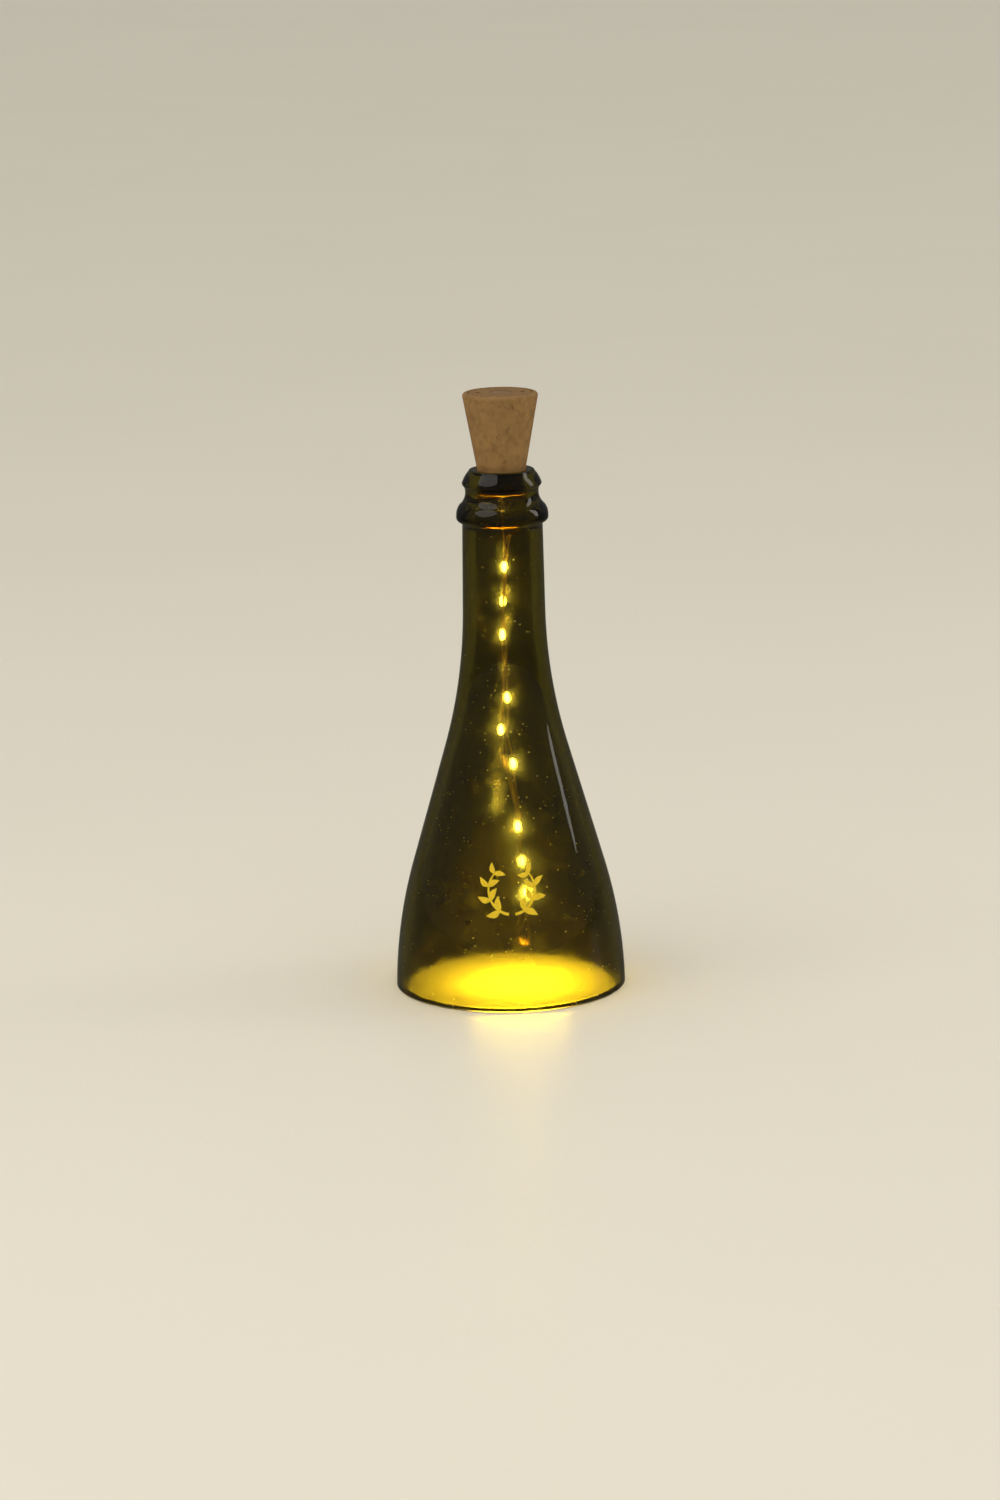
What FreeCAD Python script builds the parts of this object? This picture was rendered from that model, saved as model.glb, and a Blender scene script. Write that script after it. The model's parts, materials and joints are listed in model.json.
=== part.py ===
"""Cork bottle light: a cut glass bottle, a cork-shaped battery holder and a string of small lamps.

Lengths are in millimetres. +Z is up and the origin is the middle of the glass rim that the bottle stands on.
"""
import FreeCAD, Part
import math
import os

import Sketcher
from FreeCAD import Placement, Rotation, Vector

UP = Vector(0, 0, 1)

# Driving dimensions, each with the feature that it sets
SIZES = {
    # Glass bottle, outer form from the cut rim up to the neck
    "base_radius": 42.05,
    "rim_bevel": 0.5,
    "shoulder_radius": 35.15,
    "shoulder_height": 45.8,
    "slope_radius": 22.2,
    "slope_height": 90.5,
    "throat_radius": 15.0,
    "neck_radius": 14.5,
    "neck_length": 32.2,
    "belly_arc": 175.8,
    "throat_arc": 186.6,
    "mouth_height": 191.3,
    # Glass thickness
    "rim_wall": 4.0,
    "body_wall": 4.2,
    "neck_wall": 4.6,
    # Collar ring, waist and lip of the bottle's finish, each a drop below the mouth
    "neck_drop": 19.7,
    "collar_foot_radius": 15.6,
    "collar_foot_drop": 18.9,
    "collar_radius": 16.6,
    "collar_drop": 17.0,
    "collar_back_radius": 15.5,
    "collar_back_drop": 13.0,
    "waist_radius": 13.24,
    "waist_drop": 7.9,
    "lip_foot_radius": 13.9,
    "lip_foot_drop": 5.9,
    "lip_radius": 14.37,
    "lip_drop": 4.9,
    "lip_edge_radius": 11.9,
    "lip_edge_drop": 0.6,
    "lip_land_radius": 11.2,
    "mouth_rounding": 0.65,
    "bore_mouth_drop": 9.8,
    "bore_foot_drop": 18.8,
    "collar_foot_arc": 1.7,
    "collar_back_arc": 6.0,
    "waist_arc": 6.0,
    "lip_foot_arc": 3.0,
    "lip_arc": 1.3,
    "lip_slope_arc": 12.0,
    "lip_rounding": 0.8,
    # Cork-shaped holder, from the plug's underside
    "plug_depth": 8.5,
    "plug_tip_radius": 8.5,
    "plug_tip_rounding": 0.8,
    "plug_radius": 8.88,
    "plug_length": 9.1,
    "plug_fit": 0.1,
    "cork_edge_radius": 13.6,
    "cork_edge_level": 35.1,
    "cork_top_radius": 12.4,
    "cork_length": 36.3,
    "cork_edge_arc": 1.25,
    "floor_thickness": 1.6,
    "ledge_height": 0.8,
    "ledge_width": 1.2,
    "wire_hole_radius": 1.55,
    # Button cells and their chamber
    "cell_radius": 5.8,
    "cell_height": 5.4,
    "cell_play": 0.2,
    "can_wall": 0.25,
    "can_rim_drop": 0.35,
    "cell_lid_radius": 4.9,
    "cell_lid_foot_radius": 5.3,
    "cell_lid_rise": 0.5,
    "cell_corner": 0.4,
    # Driver board, its resistor, the spring and the leads
    "board_radius": 5.9,
    "board_thickness": 0.8,
    "resistor_length": 1.6,
    "resistor_width": 0.8,
    "resistor_height": 0.5,
    "resistor_offset": 2.9,
    "spring_height": 3.9,
    "spring_foot_radius": 4.6,
    "spring_head_radius": 2.6,
    "spring_wire": 0.5,
    "lead_wire": 0.26,
    "lead_spacing": 0.34,
    # Grommet where the string leaves the plug
    "grommet_play": 0.05,
    "grommet_nub": 1.6,
    "grommet_rounding": 0.5,
    "grommet_head_radius": 2.5,
    "grommet_head_height": 0.5,
    "grommet_bore": 0.45,
    # Brass strip that brings the upper contact down to the board
    "rail_width": 2.5,
    "rail_foot_radius": 5.0,
    "rail_thickness": 0.3,
    "rail_tab": 1.7,
    "rail_play": 0.1,
    "contact_gap": 0.05,
    # Screw-in cap with the switch
    "cap_neck_radius": 8.4,
    "cap_neck_length": 10.0,
    "cap_running_fit": 0.1,
    "cap_flange_radius": 11.6,
    "cap_flange_thickness": 2.5,
    "cap_flange_bevel": 0.4,
    "cap_cavity_radius": 6.3,
    "pin_hole_radius": 1.0,
    "pin_hole_depth": 1.2,
    "pin_hole_spread": 16.0,
    "cap_board_radius": 6.9,
    "cap_board_thickness": 0.8,
    "cap_board_play": 0.05,
    "plus_contact_radius": 2.6,
    "plus_contact_height": 0.45,
    "plus_contact_rounding": 0.2,
    "seal_wire": 1.0,
    "seal_play": 0.05,
    "seal_seat_play": 0.05,
    # Push switch and its button
    "switch_side": 5.8,
    "switch_height": 5.2,
    "switch_well": 2.6,
    "switch_well_depth": 2.8,
    "plunger_side": 2.4,
    "plunger_height": 3.2,
    "plunger_stand": 1.75,
    "button_radius": 4.0,
    "button_running_fit": 0.1,
    "button_recess": 0.1,
    "button_rounding": 0.4,
    "button_collar_radius": 4.9,
    "button_collar_height": 1.0,
    "button_collar_gap": 0.1,
    "button_stem_radius": 1.6,
    # Lamp string
    "string_wire": 0.6,
    "bead_radius": 1.15,
    "bead_length": 3.8,
    "bead_offset": 0.25,
    "bead_play": 0.04,
    "chip_length": 1.6,
    "chip_width": 0.8,
    "chip_height": 0.55,
    # Overrun of every cutting tool past the faces it cuts
    "overrun": 1.0,
}

# Places that follow from the driving dimensions
PLACES = {
    "neck_height": "mouth_height - neck_drop",
    "throat_height": "neck_height - neck_length",
    "collar_foot_height": "mouth_height - collar_foot_drop",
    "collar_height": "mouth_height - collar_drop",
    "collar_back_height": "mouth_height - collar_back_drop",
    "waist_height": "mouth_height - waist_drop",
    "lip_foot_height": "mouth_height - lip_foot_drop",
    "lip_height": "mouth_height - lip_drop",
    "lip_edge_height": "mouth_height - lip_edge_drop",
    "bore_mouth_height": "mouth_height - bore_mouth_drop",
    "bore_foot_height": "mouth_height - bore_foot_drop",
    "plug_bottom_height": "mouth_height - plug_depth",
    "rim_outer_foot": "base_radius - rim_bevel",
    "rim_inner_radius": "base_radius - rim_wall",
    "rim_inner_foot": "base_radius - rim_wall + rim_bevel",
    "shoulder_inner_radius": "shoulder_radius - body_wall",
    "slope_inner_radius": "slope_radius - body_wall",
    "throat_inner_radius": "throat_radius - neck_wall",
    "neck_inner_radius": "neck_radius - neck_wall",
    "mouth_radius": "plug_radius + plug_fit",
    "mouth_edge_radius": "plug_radius + plug_fit + mouth_rounding",
    "mouth_edge_height": "mouth_height - mouth_rounding",
    "plug_flat_radius": "plug_tip_radius - plug_tip_rounding",
    "chamber_radius": "cell_radius + cell_play",
    "ledge_inner_radius": "chamber_radius - ledge_width",
    "ledge_level": "floor_thickness + ledge_height",
    "board_top_level": "ledge_level + board_thickness",
    "cell_stack_level": "board_top_level + spring_height",
    "rail_seat_level": "cell_stack_level + 3 * cell_height + plus_contact_height"
                       " - rail_thickness - contact_gap",
    "cap_level": "rail_seat_level + rail_thickness + 2 * contact_gap",
    "thread_radius": "cap_neck_radius + cap_running_fit",
    "recess_radius": "cap_flange_radius + cap_running_fit",
    "recess_level": "cap_level + cap_neck_length",
    "seal_middle_radius": "cap_neck_radius + seal_play + seal_wire / 2",
    "seal_seat_radius": "seal_middle_radius + seal_wire / 2 + seal_seat_play",
    "seal_seat_level": "recess_level - seal_wire - 2 * seal_seat_play",
    "seal_level": "recess_level - seal_wire / 2 - seal_seat_play",
    "cap_height": "cap_neck_length + cap_flange_thickness",
    "cap_bevel_level": "cap_height - cap_flange_bevel",
    "cap_bevel_radius": "cap_flange_radius - cap_flange_bevel",
    "cap_board_seat_radius": "cap_board_radius + cap_board_play",
    "button_hole_radius": "button_radius + button_running_fit",
    "switch_level": "cap_level + cap_board_thickness",
    "switch_top_level": "switch_level + switch_height",
    "plunger_level": "switch_top_level + plunger_stand - plunger_height",
    "button_level": "switch_top_level + plunger_stand",
    "button_collar_top": "cap_level + cap_neck_length - button_collar_gap - button_level",
    "button_collar_foot": "button_collar_top - button_collar_height",
    "button_top": "cap_level + cap_height - button_recess - button_level",
    "button_shoulder": "button_top - button_rounding",
    "button_face_radius": "button_radius - button_rounding",
    "grommet_radius": "wire_hole_radius - grommet_play",
    "grommet_neck_radius": "grommet_radius - grommet_rounding",
    "grommet_top": "grommet_nub + floor_thickness + grommet_head_height",
    "grommet_shoulder": "grommet_nub + floor_thickness",
    "grommet_bottom_height": "plug_bottom_height - grommet_nub",
    "can_inner_radius": "cell_radius - can_wall",
    "can_corner_radius": "cell_radius - cell_corner",
    "can_corner_level": "cell_height - cell_corner",
    "can_inner_level": "cell_height - can_wall",
    "bead_half_length": "bead_length / 2",
    "rail_outer_radius": "chamber_radius + rail_thickness",
    "rail_tab_radius": "chamber_radius + rail_tab",
    "rail_foot_top": "board_top_level + rail_thickness",
    "rail_top_level": "rail_seat_level + rail_thickness",
    "groove_width": "rail_width + 2 * rail_play",
    "plus_contact_face": "plus_contact_radius - plus_contact_rounding",
    "groove_radius": "chamber_radius + rail_thickness + rail_play",
}

# Route of the lamp string, chosen by hand as x, y and drop below the grommet:
# down, round the loop, up, over the fold and down again to its end
STRING_ROUTE = [
    (0.0, 0.0, 0.0),
    (0.0, 0.0, 7.6),
    (0.6, 1.3, 19.2),
    (-0.2, 2.0, 32.4),
    (-0.6, 1.5, 44.2),
    (0.6, 2.1, 55.2),
    (-0.3, 1.6, 66.8),
    (-1.7, 2.3, 80.0),
    (-2.3, 1.6, 92.6),
    (0.6, 2.2, 104.8),
    (3.2, 1.6, 117.6),
    (4.4, 2.2, 130.2),
    (5.3, 1.9, 142.0),
    (5.1, 2.3, 151.2),
    (3.5, 2.0, 157.6),
    (2.9, 1.6, 162.8),
    (3.7, 1.1, 166.9),
    (6.4, 0.6, 167.2),
    (7.0, 0.2, 163.6),
    (6.4, -0.1, 158.2),
    (5.9, 0.2, 151.8),
    (5.5, 0.0, 144.0),
    (3.9, 0.4, 132.2),
    (4.5, -0.2, 120.3),
    (2.7, 0.1, 105.4),
    (1.5, 0.3, 92.4),
    (-1.4, -0.2, 81.1),
    (-0.4, 0.3, 68.9),
    (-1.2, -0.1, 56.4),
    (-0.6, 0.3, 44.4),
    (0.7, -0.3, 32.9),
    (1.0, 0.0, 23.6),
    (2.0, -0.2, 17.2),
    (2.9, -0.5, 13.2),
    (2.2, -2.3, 12.8),
    (1.1, -2.6, 15.8),
    (0.5, -2.2, 20.3),
    (0.15, -1.9, 29.9),
    (-0.6, -2.3, 41.6),
    (0.9, -1.8, 53.8),
    (0.3, -2.2, 66.9),
    (1.1, -1.9, 79.9),
    (-1.0, -2.3, 90.8),
    (1.4, -1.9, 103.6),
    (3.3, -2.2, 115.8),
    (3.9, -1.8, 128.2),
    (4.7, -2.3, 138.7),
    (5.3, -1.8, 148.7),
    (5.9, -1.6, 156.0),
    (4.4, -1.9, 160.2),
    (2.6, -2.2, 162.5),
]
# Each lamp sits in the middle of the run that starts at this point of the route
LAMP_RUNS = [3, 7, 11, 20, 24, 28, 36, 40, 44]
# Share of the shorter run that each bend of the string takes on either side of its point
BEND_SHARE = 0.45
CELL_COUNT = 3
SPRING_TURNS = 3.5

doc = FreeCAD.newDocument("cork_bottle_light")
sheet = doc.addObject("Spreadsheet::Sheet", "Sizes")
parts = {}


def fill_sheet():
    """Write the driving dimensions and the places that follow from them, each under its own name."""
    rows = [(name, str(value)) for name, value in SIZES.items()]
    rows += [(name, "=" + formula) for name, formula in PLACES.items()]
    for row, (name, text) in enumerate(rows, start=1):
        sheet.set("A{}".format(row), name)
        sheet.set("B{}".format(row), text)
        sheet.setAlias("B{}".format(row), name)
    doc.recompute()


def size(name):
    """Value of a named size or place, or nothing where there is no name."""
    return float(sheet.get(name)) if name else 0.0


def keep(item, name):
    """Name a finished piece and list it for writing."""
    item.Label = name
    parts[name] = item
    return item


def lift(item, *levels):
    """Raise a piece by the named levels added up."""
    item.setExpression("Placement.Base.z", " + ".join("Sizes." + level for level in levels))
    return item


def new_sketch(body, name, role):
    """Empty sketch on one of the body's own origin planes."""
    sketch = body.newObject("Sketcher::SketchObject", name)
    plane = next(item for item in body.Origin.OriginFeatures if item.Role == role)
    sketch.AttachmentSupport = (plane, [""])
    sketch.MapMode = "FlatFace"
    return sketch


def arc_between(start, end, radius, side):
    """Arc from start to end that bulges "out" to the right of the way it goes, or "in" to the left."""
    chord = end - start
    right = Vector(chord.y, -chord.x, 0).normalize()
    across = right if side == "out" else -right
    rise = radius - math.sqrt(radius ** 2 - (chord.Length / 2) ** 2)
    return Part.Arc(start, (start + end) / 2 + across * rise, end)


def pin(sketch, line, vertex, name, kind):
    """Hold one coordinate of a corner at a named size, or on the axis where it has no name."""
    if name is None:
        axis = -2 if kind == "DistanceX" else -1
        sketch.addConstraint(Sketcher.Constraint("PointOnObject", line, vertex, axis))
        return
    index = sketch.addConstraint(Sketcher.Constraint(kind, -1, 1, line, vertex, size(name)))
    sketch.setExpression("Constraints[{}]".format(index), "Sizes." + name)


def draw_outline(sketch, corners):
    """Close an outline through corners of (radius name, height name, arc).

    The outline goes up the outside and down the inside. The arc, where there is one, is the
    (radius name, side) of the curve that leads to the next corner.
    """
    points = [Vector(size(radius), size(height), 0) for radius, height, _ in corners]
    lines = []
    for index, (_, _, arc) in enumerate(corners):
        start = points[index]
        end = points[(index + 1) % len(points)]
        edge = arc_between(start, end, size(arc[0]), arc[1]) if arc else Part.LineSegment(start, end)
        line = sketch.addGeometry(edge, False)
        gaps = [sketch.getPoint(line, vertex).distanceToPoint(start) for vertex in (1, 2)]
        first = 1 if gaps[0] < gaps[1] else 2
        lines.append((line, first, 3 - first))
    for index, (radius, height, arc) in enumerate(corners):
        line, first, _ = lines[index]
        before, _, last = lines[index - 1]
        sketch.addConstraint(Sketcher.Constraint("Coincident", before, last, line, first))
        pin(sketch, line, first, radius, "DistanceX")
        pin(sketch, line, first, height, "DistanceY")
        if arc:
            bend = sketch.addConstraint(Sketcher.Constraint("Radius", line, size(arc[0])))
            sketch.setExpression("Constraints[{}]".format(bend), "Sizes." + arc[0])


def turned(name, corners):
    """Body turned about Z from its outline."""
    body = doc.addObject("PartDesign::Body", name)
    sketch = new_sketch(body, name + "_outline", "XZ_Plane")
    draw_outline(sketch, corners)
    turn = body.newObject("PartDesign::Revolution", name + "_turn")
    turn.Profile = sketch
    turn.ReferenceAxis = (sketch, ["V_Axis"])
    turn.Angle = 360
    body.Tip = turn
    return body


def disc(name, radius, thickness, hole=None):
    """Flat round body with an optional hole through its middle."""
    body = doc.addObject("PartDesign::Body", name)
    sketch = new_sketch(body, name + "_outline", "XY_Plane")
    for rim in filter(None, (radius, hole)):
        circle = sketch.addGeometry(Part.Circle(Vector(), UP, size(rim)), False)
        sketch.addConstraint(Sketcher.Constraint("Coincident", circle, 3, -1, 1))
        bend = sketch.addConstraint(Sketcher.Constraint("Radius", circle, size(rim)))
        sketch.setExpression("Constraints[{}]".format(bend), "Sizes." + rim)
    pad = body.newObject("PartDesign::Pad", name + "_pad")
    pad.Profile = sketch
    pad.setExpression("Length", "Sizes." + thickness)
    body.Tip = pad
    return body


def block(name, length, width, height):
    """Box whose length and width lie evenly about its own middle."""
    box = doc.addObject("Part::Box", name)
    box.setExpression("Length", "Sizes." + length)
    box.setExpression("Width", "Sizes." + width)
    box.setExpression("Height", "Sizes." + height)
    box.setExpression("Placement.Base.x", "-Sizes.{} / 2".format(length))
    box.setExpression("Placement.Base.y", "-Sizes.{} / 2".format(width))
    return box


def cut(name, base, tool):
    """Base with the tool taken away."""
    result = doc.addObject("Part::Cut", name)
    result.Base = base
    result.Tool = tool
    return result


def make_bottle():
    """Bottle cut open below, with a long throat, a collar ring and a crown lip."""
    bottle = turned("glass_bottle", [
        ("rim_inner_foot", None, None),
        ("rim_outer_foot", None, None),
        ("base_radius", "rim_bevel", ("belly_arc", "out")),
        ("shoulder_radius", "shoulder_height", None),
        ("slope_radius", "slope_height", ("throat_arc", "in")),
        ("throat_radius", "throat_height", None),
        ("neck_radius", "neck_height", None),
        ("collar_foot_radius", "collar_foot_height", ("collar_foot_arc", "out")),
        ("collar_radius", "collar_height", ("collar_back_arc", "out")),
        ("collar_back_radius", "collar_back_height", ("waist_arc", "in")),
        ("waist_radius", "waist_height", ("lip_foot_arc", "in")),
        ("lip_foot_radius", "lip_foot_height", ("lip_arc", "out")),
        ("lip_radius", "lip_height", ("lip_slope_arc", "out")),
        ("lip_edge_radius", "lip_edge_height", ("lip_rounding", "out")),
        ("lip_land_radius", "mouth_height", None),
        ("mouth_edge_radius", "mouth_height", ("mouth_rounding", "out")),
        ("mouth_radius", "mouth_edge_height", None),
        ("mouth_radius", "bore_mouth_height", None),
        ("neck_inner_radius", "bore_foot_height", None),
        ("throat_inner_radius", "throat_height", ("throat_arc", "out")),
        ("slope_inner_radius", "slope_height", None),
        ("shoulder_inner_radius", "shoulder_height", ("belly_arc", "in")),
        ("rim_inner_radius", "rim_bevel", None),
    ])
    keep(bottle, "glass_bottle")


def make_cork_shell():
    """Tapered cork-shaped moulding: plug below, cell chamber inside, cap recess in its top."""
    shell = turned("cork_moulding", [
        ("wire_hole_radius", None, None),
        ("plug_flat_radius", None, ("plug_tip_rounding", "out")),
        ("plug_tip_radius", "plug_tip_rounding", None),
        ("plug_radius", "plug_length", None),
        ("cork_edge_radius", "cork_edge_level", ("cork_edge_arc", "out")),
        ("cork_top_radius", "cork_length", None),
        ("recess_radius", "cork_length", None),
        ("recess_radius", "recess_level", None),
        ("seal_seat_radius", "recess_level", None),
        ("seal_seat_radius", "seal_seat_level", None),
        ("thread_radius", "seal_seat_level", None),
        ("thread_radius", "rail_seat_level", None),
        ("chamber_radius", "rail_seat_level", None),
        ("chamber_radius", "ledge_level", None),
        ("ledge_inner_radius", "ledge_level", None),
        ("ledge_inner_radius", "floor_thickness", None),
        ("wire_hole_radius", "floor_thickness", None),
    ])
    groove = doc.addObject("Part::Box", "rail_groove")
    groove.setExpression("Length", "Sizes.groove_radius - Sizes.ledge_inner_radius")
    groove.setExpression("Width", "Sizes.groove_width")
    groove.setExpression("Height", "Sizes.rail_seat_level - Sizes.board_top_level + Sizes.overrun")
    groove.setExpression("Placement.Base.x", "Sizes.ledge_inner_radius")
    groove.setExpression("Placement.Base.y", "-Sizes.groove_width / 2")
    lift(groove, "board_top_level")
    keep(lift(cut("cork_shell", shell, groove), "plug_bottom_height"), "cork_shell")


def make_grommet():
    """Rubber grommet: its nub stands out below the plug and its head holds it inside the floor."""
    grommet = turned("wire_grommet", [
        ("grommet_bore", None, None),
        ("grommet_neck_radius", None, ("grommet_rounding", "out")),
        ("grommet_radius", "grommet_rounding", None),
        ("grommet_radius", "grommet_shoulder", None),
        ("grommet_head_radius", "grommet_shoulder", None),
        ("grommet_head_radius", "grommet_top", None),
        ("grommet_bore", "grommet_top", None),
    ])
    keep(lift(grommet, "grommet_bottom_height"), "wire_grommet")


def make_driver():
    """Board on its ledge, with the resistor below it and the two leads that come up to it."""
    board = disc("driver_board", "board_radius", "board_thickness", "grommet_bore")
    keep(lift(board, "plug_bottom_height", "ledge_level"), "driver_board")

    resistor = block("chip_resistor", "resistor_length", "resistor_width", "resistor_height")
    resistor.setExpression("Placement.Base.x", "Sizes.resistor_offset")
    resistor.setExpression("Placement.Base.z",
                           "Sizes.plug_bottom_height + Sizes.ledge_level - Sizes.resistor_height")
    keep(resistor, "chip_resistor")

    leads = []
    for side in (-1, 1):
        lead = doc.addObject("Part::Cylinder", "lead_{}".format(len(leads) + 1))
        lead.setExpression("Radius", "Sizes.lead_wire / 2")
        lead.setExpression("Height", "Sizes.grommet_nub + Sizes.board_top_level")
        lead.setExpression("Placement.Base.x", "{} * Sizes.lead_spacing / 2".format(side))
        leads.append(lift(lead, "grommet_bottom_height"))
    pair = doc.addObject("Part::Compound", "wire_leads")
    pair.Links = leads
    keep(pair, "wire_leads")


def make_spring():
    """Conical spring that stands on the board and presses up on the lowest cell."""
    wire = size("spring_wire")
    rise = size("spring_height") - wire
    foot = size("spring_foot_radius") - wire / 2
    head = size("spring_head_radius") - wire / 2
    lean = -math.degrees(math.atan((foot - head) / rise))
    helix = Part.makeHelix(rise / SPRING_TURNS, rise, foot, lean)
    first = helix.Edges[0]
    along = first.tangentAt(first.FirstParameter)
    section = Part.Wire(Part.makeCircle(wire / 2, helix.Vertexes[0].Point, along))
    spring = doc.addObject("Part::Feature", "negative_spring")
    spring.Shape = Part.Wire(helix.Edges).makePipeShell([section], True, True)
    spring.Placement.Base.z = size("plug_bottom_height") + size("board_top_level") + wire / 2
    gap = math.hypot(rise, foot - head) / SPRING_TURNS - wire
    print("spring: least gap between turns {:.2f} mm".format(gap))
    keep(spring, "negative_spring")


def make_rail():
    """Brass strip in the chamber's groove, bent in over the board and out over the chamber's mouth."""
    rail = doc.addObject("PartDesign::Body", "side_rail")
    sketch = new_sketch(rail, "side_rail_outline", "XZ_Plane")
    draw_outline(sketch, [
        ("rail_foot_radius", "board_top_level", None),
        ("rail_outer_radius", "board_top_level", None),
        ("rail_outer_radius", "rail_seat_level", None),
        ("rail_tab_radius", "rail_seat_level", None),
        ("rail_tab_radius", "rail_top_level", None),
        ("chamber_radius", "rail_top_level", None),
        ("chamber_radius", "rail_foot_top", None),
        ("rail_foot_radius", "rail_foot_top", None),
    ])
    pad = rail.newObject("PartDesign::Pad", "side_rail_pad")
    pad.Profile = sketch
    pad.Midplane = True
    pad.setExpression("Length", "Sizes.rail_width")
    rail.Tip = pad
    keep(lift(rail, "plug_bottom_height"), "side_rail")


def make_cell(number):
    """Button cell, lid down: steel can, nylon gasket and the lid with what it holds."""
    name = "button_cell_{}".format(number)
    can = turned(name + "_can", [
        ("can_inner_radius", "can_rim_drop", None),
        ("cell_radius", "can_rim_drop", None),
        ("cell_radius", "can_corner_level", ("cell_corner", "out")),
        ("can_corner_radius", "cell_height", None),
        (None, "cell_height", None),
        (None, "can_inner_level", None),
        ("can_inner_radius", "can_inner_level", None),
    ])
    gasket = turned(name + "_gasket", [
        ("cell_lid_foot_radius", "cell_lid_rise", None),
        ("can_inner_radius", "cell_lid_rise", None),
        ("can_inner_radius", "can_inner_level", None),
        ("cell_lid_foot_radius", "can_inner_level", None),
    ])
    lid = turned(name + "_lid", [
        (None, None, None),
        ("cell_lid_radius", None, None),
        ("cell_lid_foot_radius", "cell_lid_rise", None),
        ("cell_lid_foot_radius", "can_inner_level", None),
        (None, "can_inner_level", None),
    ])
    cell = doc.addObject("Part::Compound", name)
    cell.Links = [can, gasket, lid]
    cell.setExpression("Placement.Base.z",
                       "Sizes.plug_bottom_height + Sizes.cell_stack_level + {} * Sizes.cell_height"
                       .format(number - 1))
    keep(cell, name)


def make_cap():
    """Screw-in cap with two pin holes, flush with the cork's top, its seal, its board and the upper contact."""
    cap = turned("cap_turning", [
        ("cap_board_seat_radius", None, None),
        ("cap_neck_radius", None, None),
        ("cap_neck_radius", "cap_neck_length", None),
        ("cap_flange_radius", "cap_neck_length", None),
        ("cap_flange_radius", "cap_bevel_level", None),
        ("cap_bevel_radius", "cap_height", None),
        ("button_hole_radius", "cap_height", None),
        ("button_hole_radius", "cap_neck_length", None),
        ("cap_cavity_radius", "cap_neck_length", None),
        ("cap_cavity_radius", "cap_board_thickness", None),
        ("cap_board_seat_radius", "cap_board_thickness", None),
    ])
    for side, way in (("left", "-"), ("right", "")):
        hole = doc.addObject("Part::Cylinder", "pin_hole_" + side)
        hole.setExpression("Radius", "Sizes.pin_hole_radius")
        hole.setExpression("Height", "Sizes.pin_hole_depth + Sizes.overrun")
        hole.setExpression("Placement.Base.x", way + "Sizes.pin_hole_spread / 2")
        hole.setExpression("Placement.Base.z", "Sizes.cap_height - Sizes.pin_hole_depth")
        cap = cut("cap_with_{}_hole".format(side), cap, hole)
    keep(lift(cap, "plug_bottom_height", "cap_level"), "battery_cap")

    seal = doc.addObject("Part::Torus", "cap_seal")
    seal.setExpression("Radius1", "Sizes.seal_middle_radius")
    seal.setExpression("Radius2", "Sizes.seal_wire / 2")
    keep(lift(seal, "plug_bottom_height", "seal_level"), "cap_seal")

    board = disc("cap_board", "cap_board_radius", "cap_board_thickness")
    keep(lift(board, "plug_bottom_height", "cap_level"), "cap_board")

    contact = turned("positive_contact", [
        (None, None, None),
        ("plus_contact_face", None, ("plus_contact_rounding", "out")),
        ("plus_contact_radius", "plus_contact_rounding", None),
        ("plus_contact_radius", "plus_contact_height", None),
        (None, "plus_contact_height", None),
    ])
    contact.setExpression("Placement.Base.z",
                          "Sizes.plug_bottom_height + Sizes.cap_level - Sizes.plus_contact_height")
    keep(contact, "positive_contact")


def make_switch():
    """Push switch on the cap's board, its plunger and the round button held under the cap's flange."""
    body = lift(block("switch_case", "switch_side", "switch_side", "switch_height"),
                "plug_bottom_height", "switch_level")
    well = block("switch_opening", "switch_well", "switch_well", "switch_well_depth")
    well.setExpression("Height", "Sizes.switch_well_depth + Sizes.overrun")
    well.setExpression("Placement.Base.z", "Sizes.plug_bottom_height + Sizes.switch_top_level"
                                           " - Sizes.switch_well_depth")
    keep(cut("switch_body", body, well), "switch_body")

    plunger = block("switch_plunger", "plunger_side", "plunger_side", "plunger_height")
    keep(lift(plunger, "plug_bottom_height", "plunger_level"), "switch_plunger")

    button = turned("push_button", [
        (None, None, None),
        ("button_stem_radius", None, None),
        ("button_stem_radius", "button_collar_foot", None),
        ("button_collar_radius", "button_collar_foot", None),
        ("button_collar_radius", "button_collar_top", None),
        ("button_radius", "button_collar_top", None),
        ("button_radius", "button_shoulder", ("button_rounding", "out")),
        ("button_face_radius", "button_top", None),
        (None, "button_top", None),
    ])
    keep(lift(button, "plug_bottom_height", "button_level"), "push_button")


def string_path(points):
    """Straight runs joined by tangent arcs, with each bend's radius and the path's length."""
    runs = [after - before for before, after in zip(points, points[1:])]
    edges = []
    radii = []
    start = points[0]
    for point, run_in, run_out in zip(points[1:], runs, runs[1:]):
        half_turn = run_in.getAngle(run_out) / 2
        reach = BEND_SHARE * min(run_in.Length, run_out.Length)
        way_in = Vector(run_in).normalize()
        way_out = Vector(run_out).normalize()
        bend_start = point - way_in * reach
        bend_end = point + way_out * reach
        radius = reach / math.tan(half_turn)
        towards = (way_out - way_in).normalize()
        crown = point + towards * (radius / math.cos(half_turn) - radius)
        edges.append(Part.LineSegment(start, bend_start).toShape())
        edges.append(Part.Arc(bend_start, crown, bend_end).toShape())
        radii.append(radius)
        start = bend_end
    edges.append(Part.LineSegment(start, points[-1]).toShape())
    return Part.Wire(edges), radii


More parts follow.
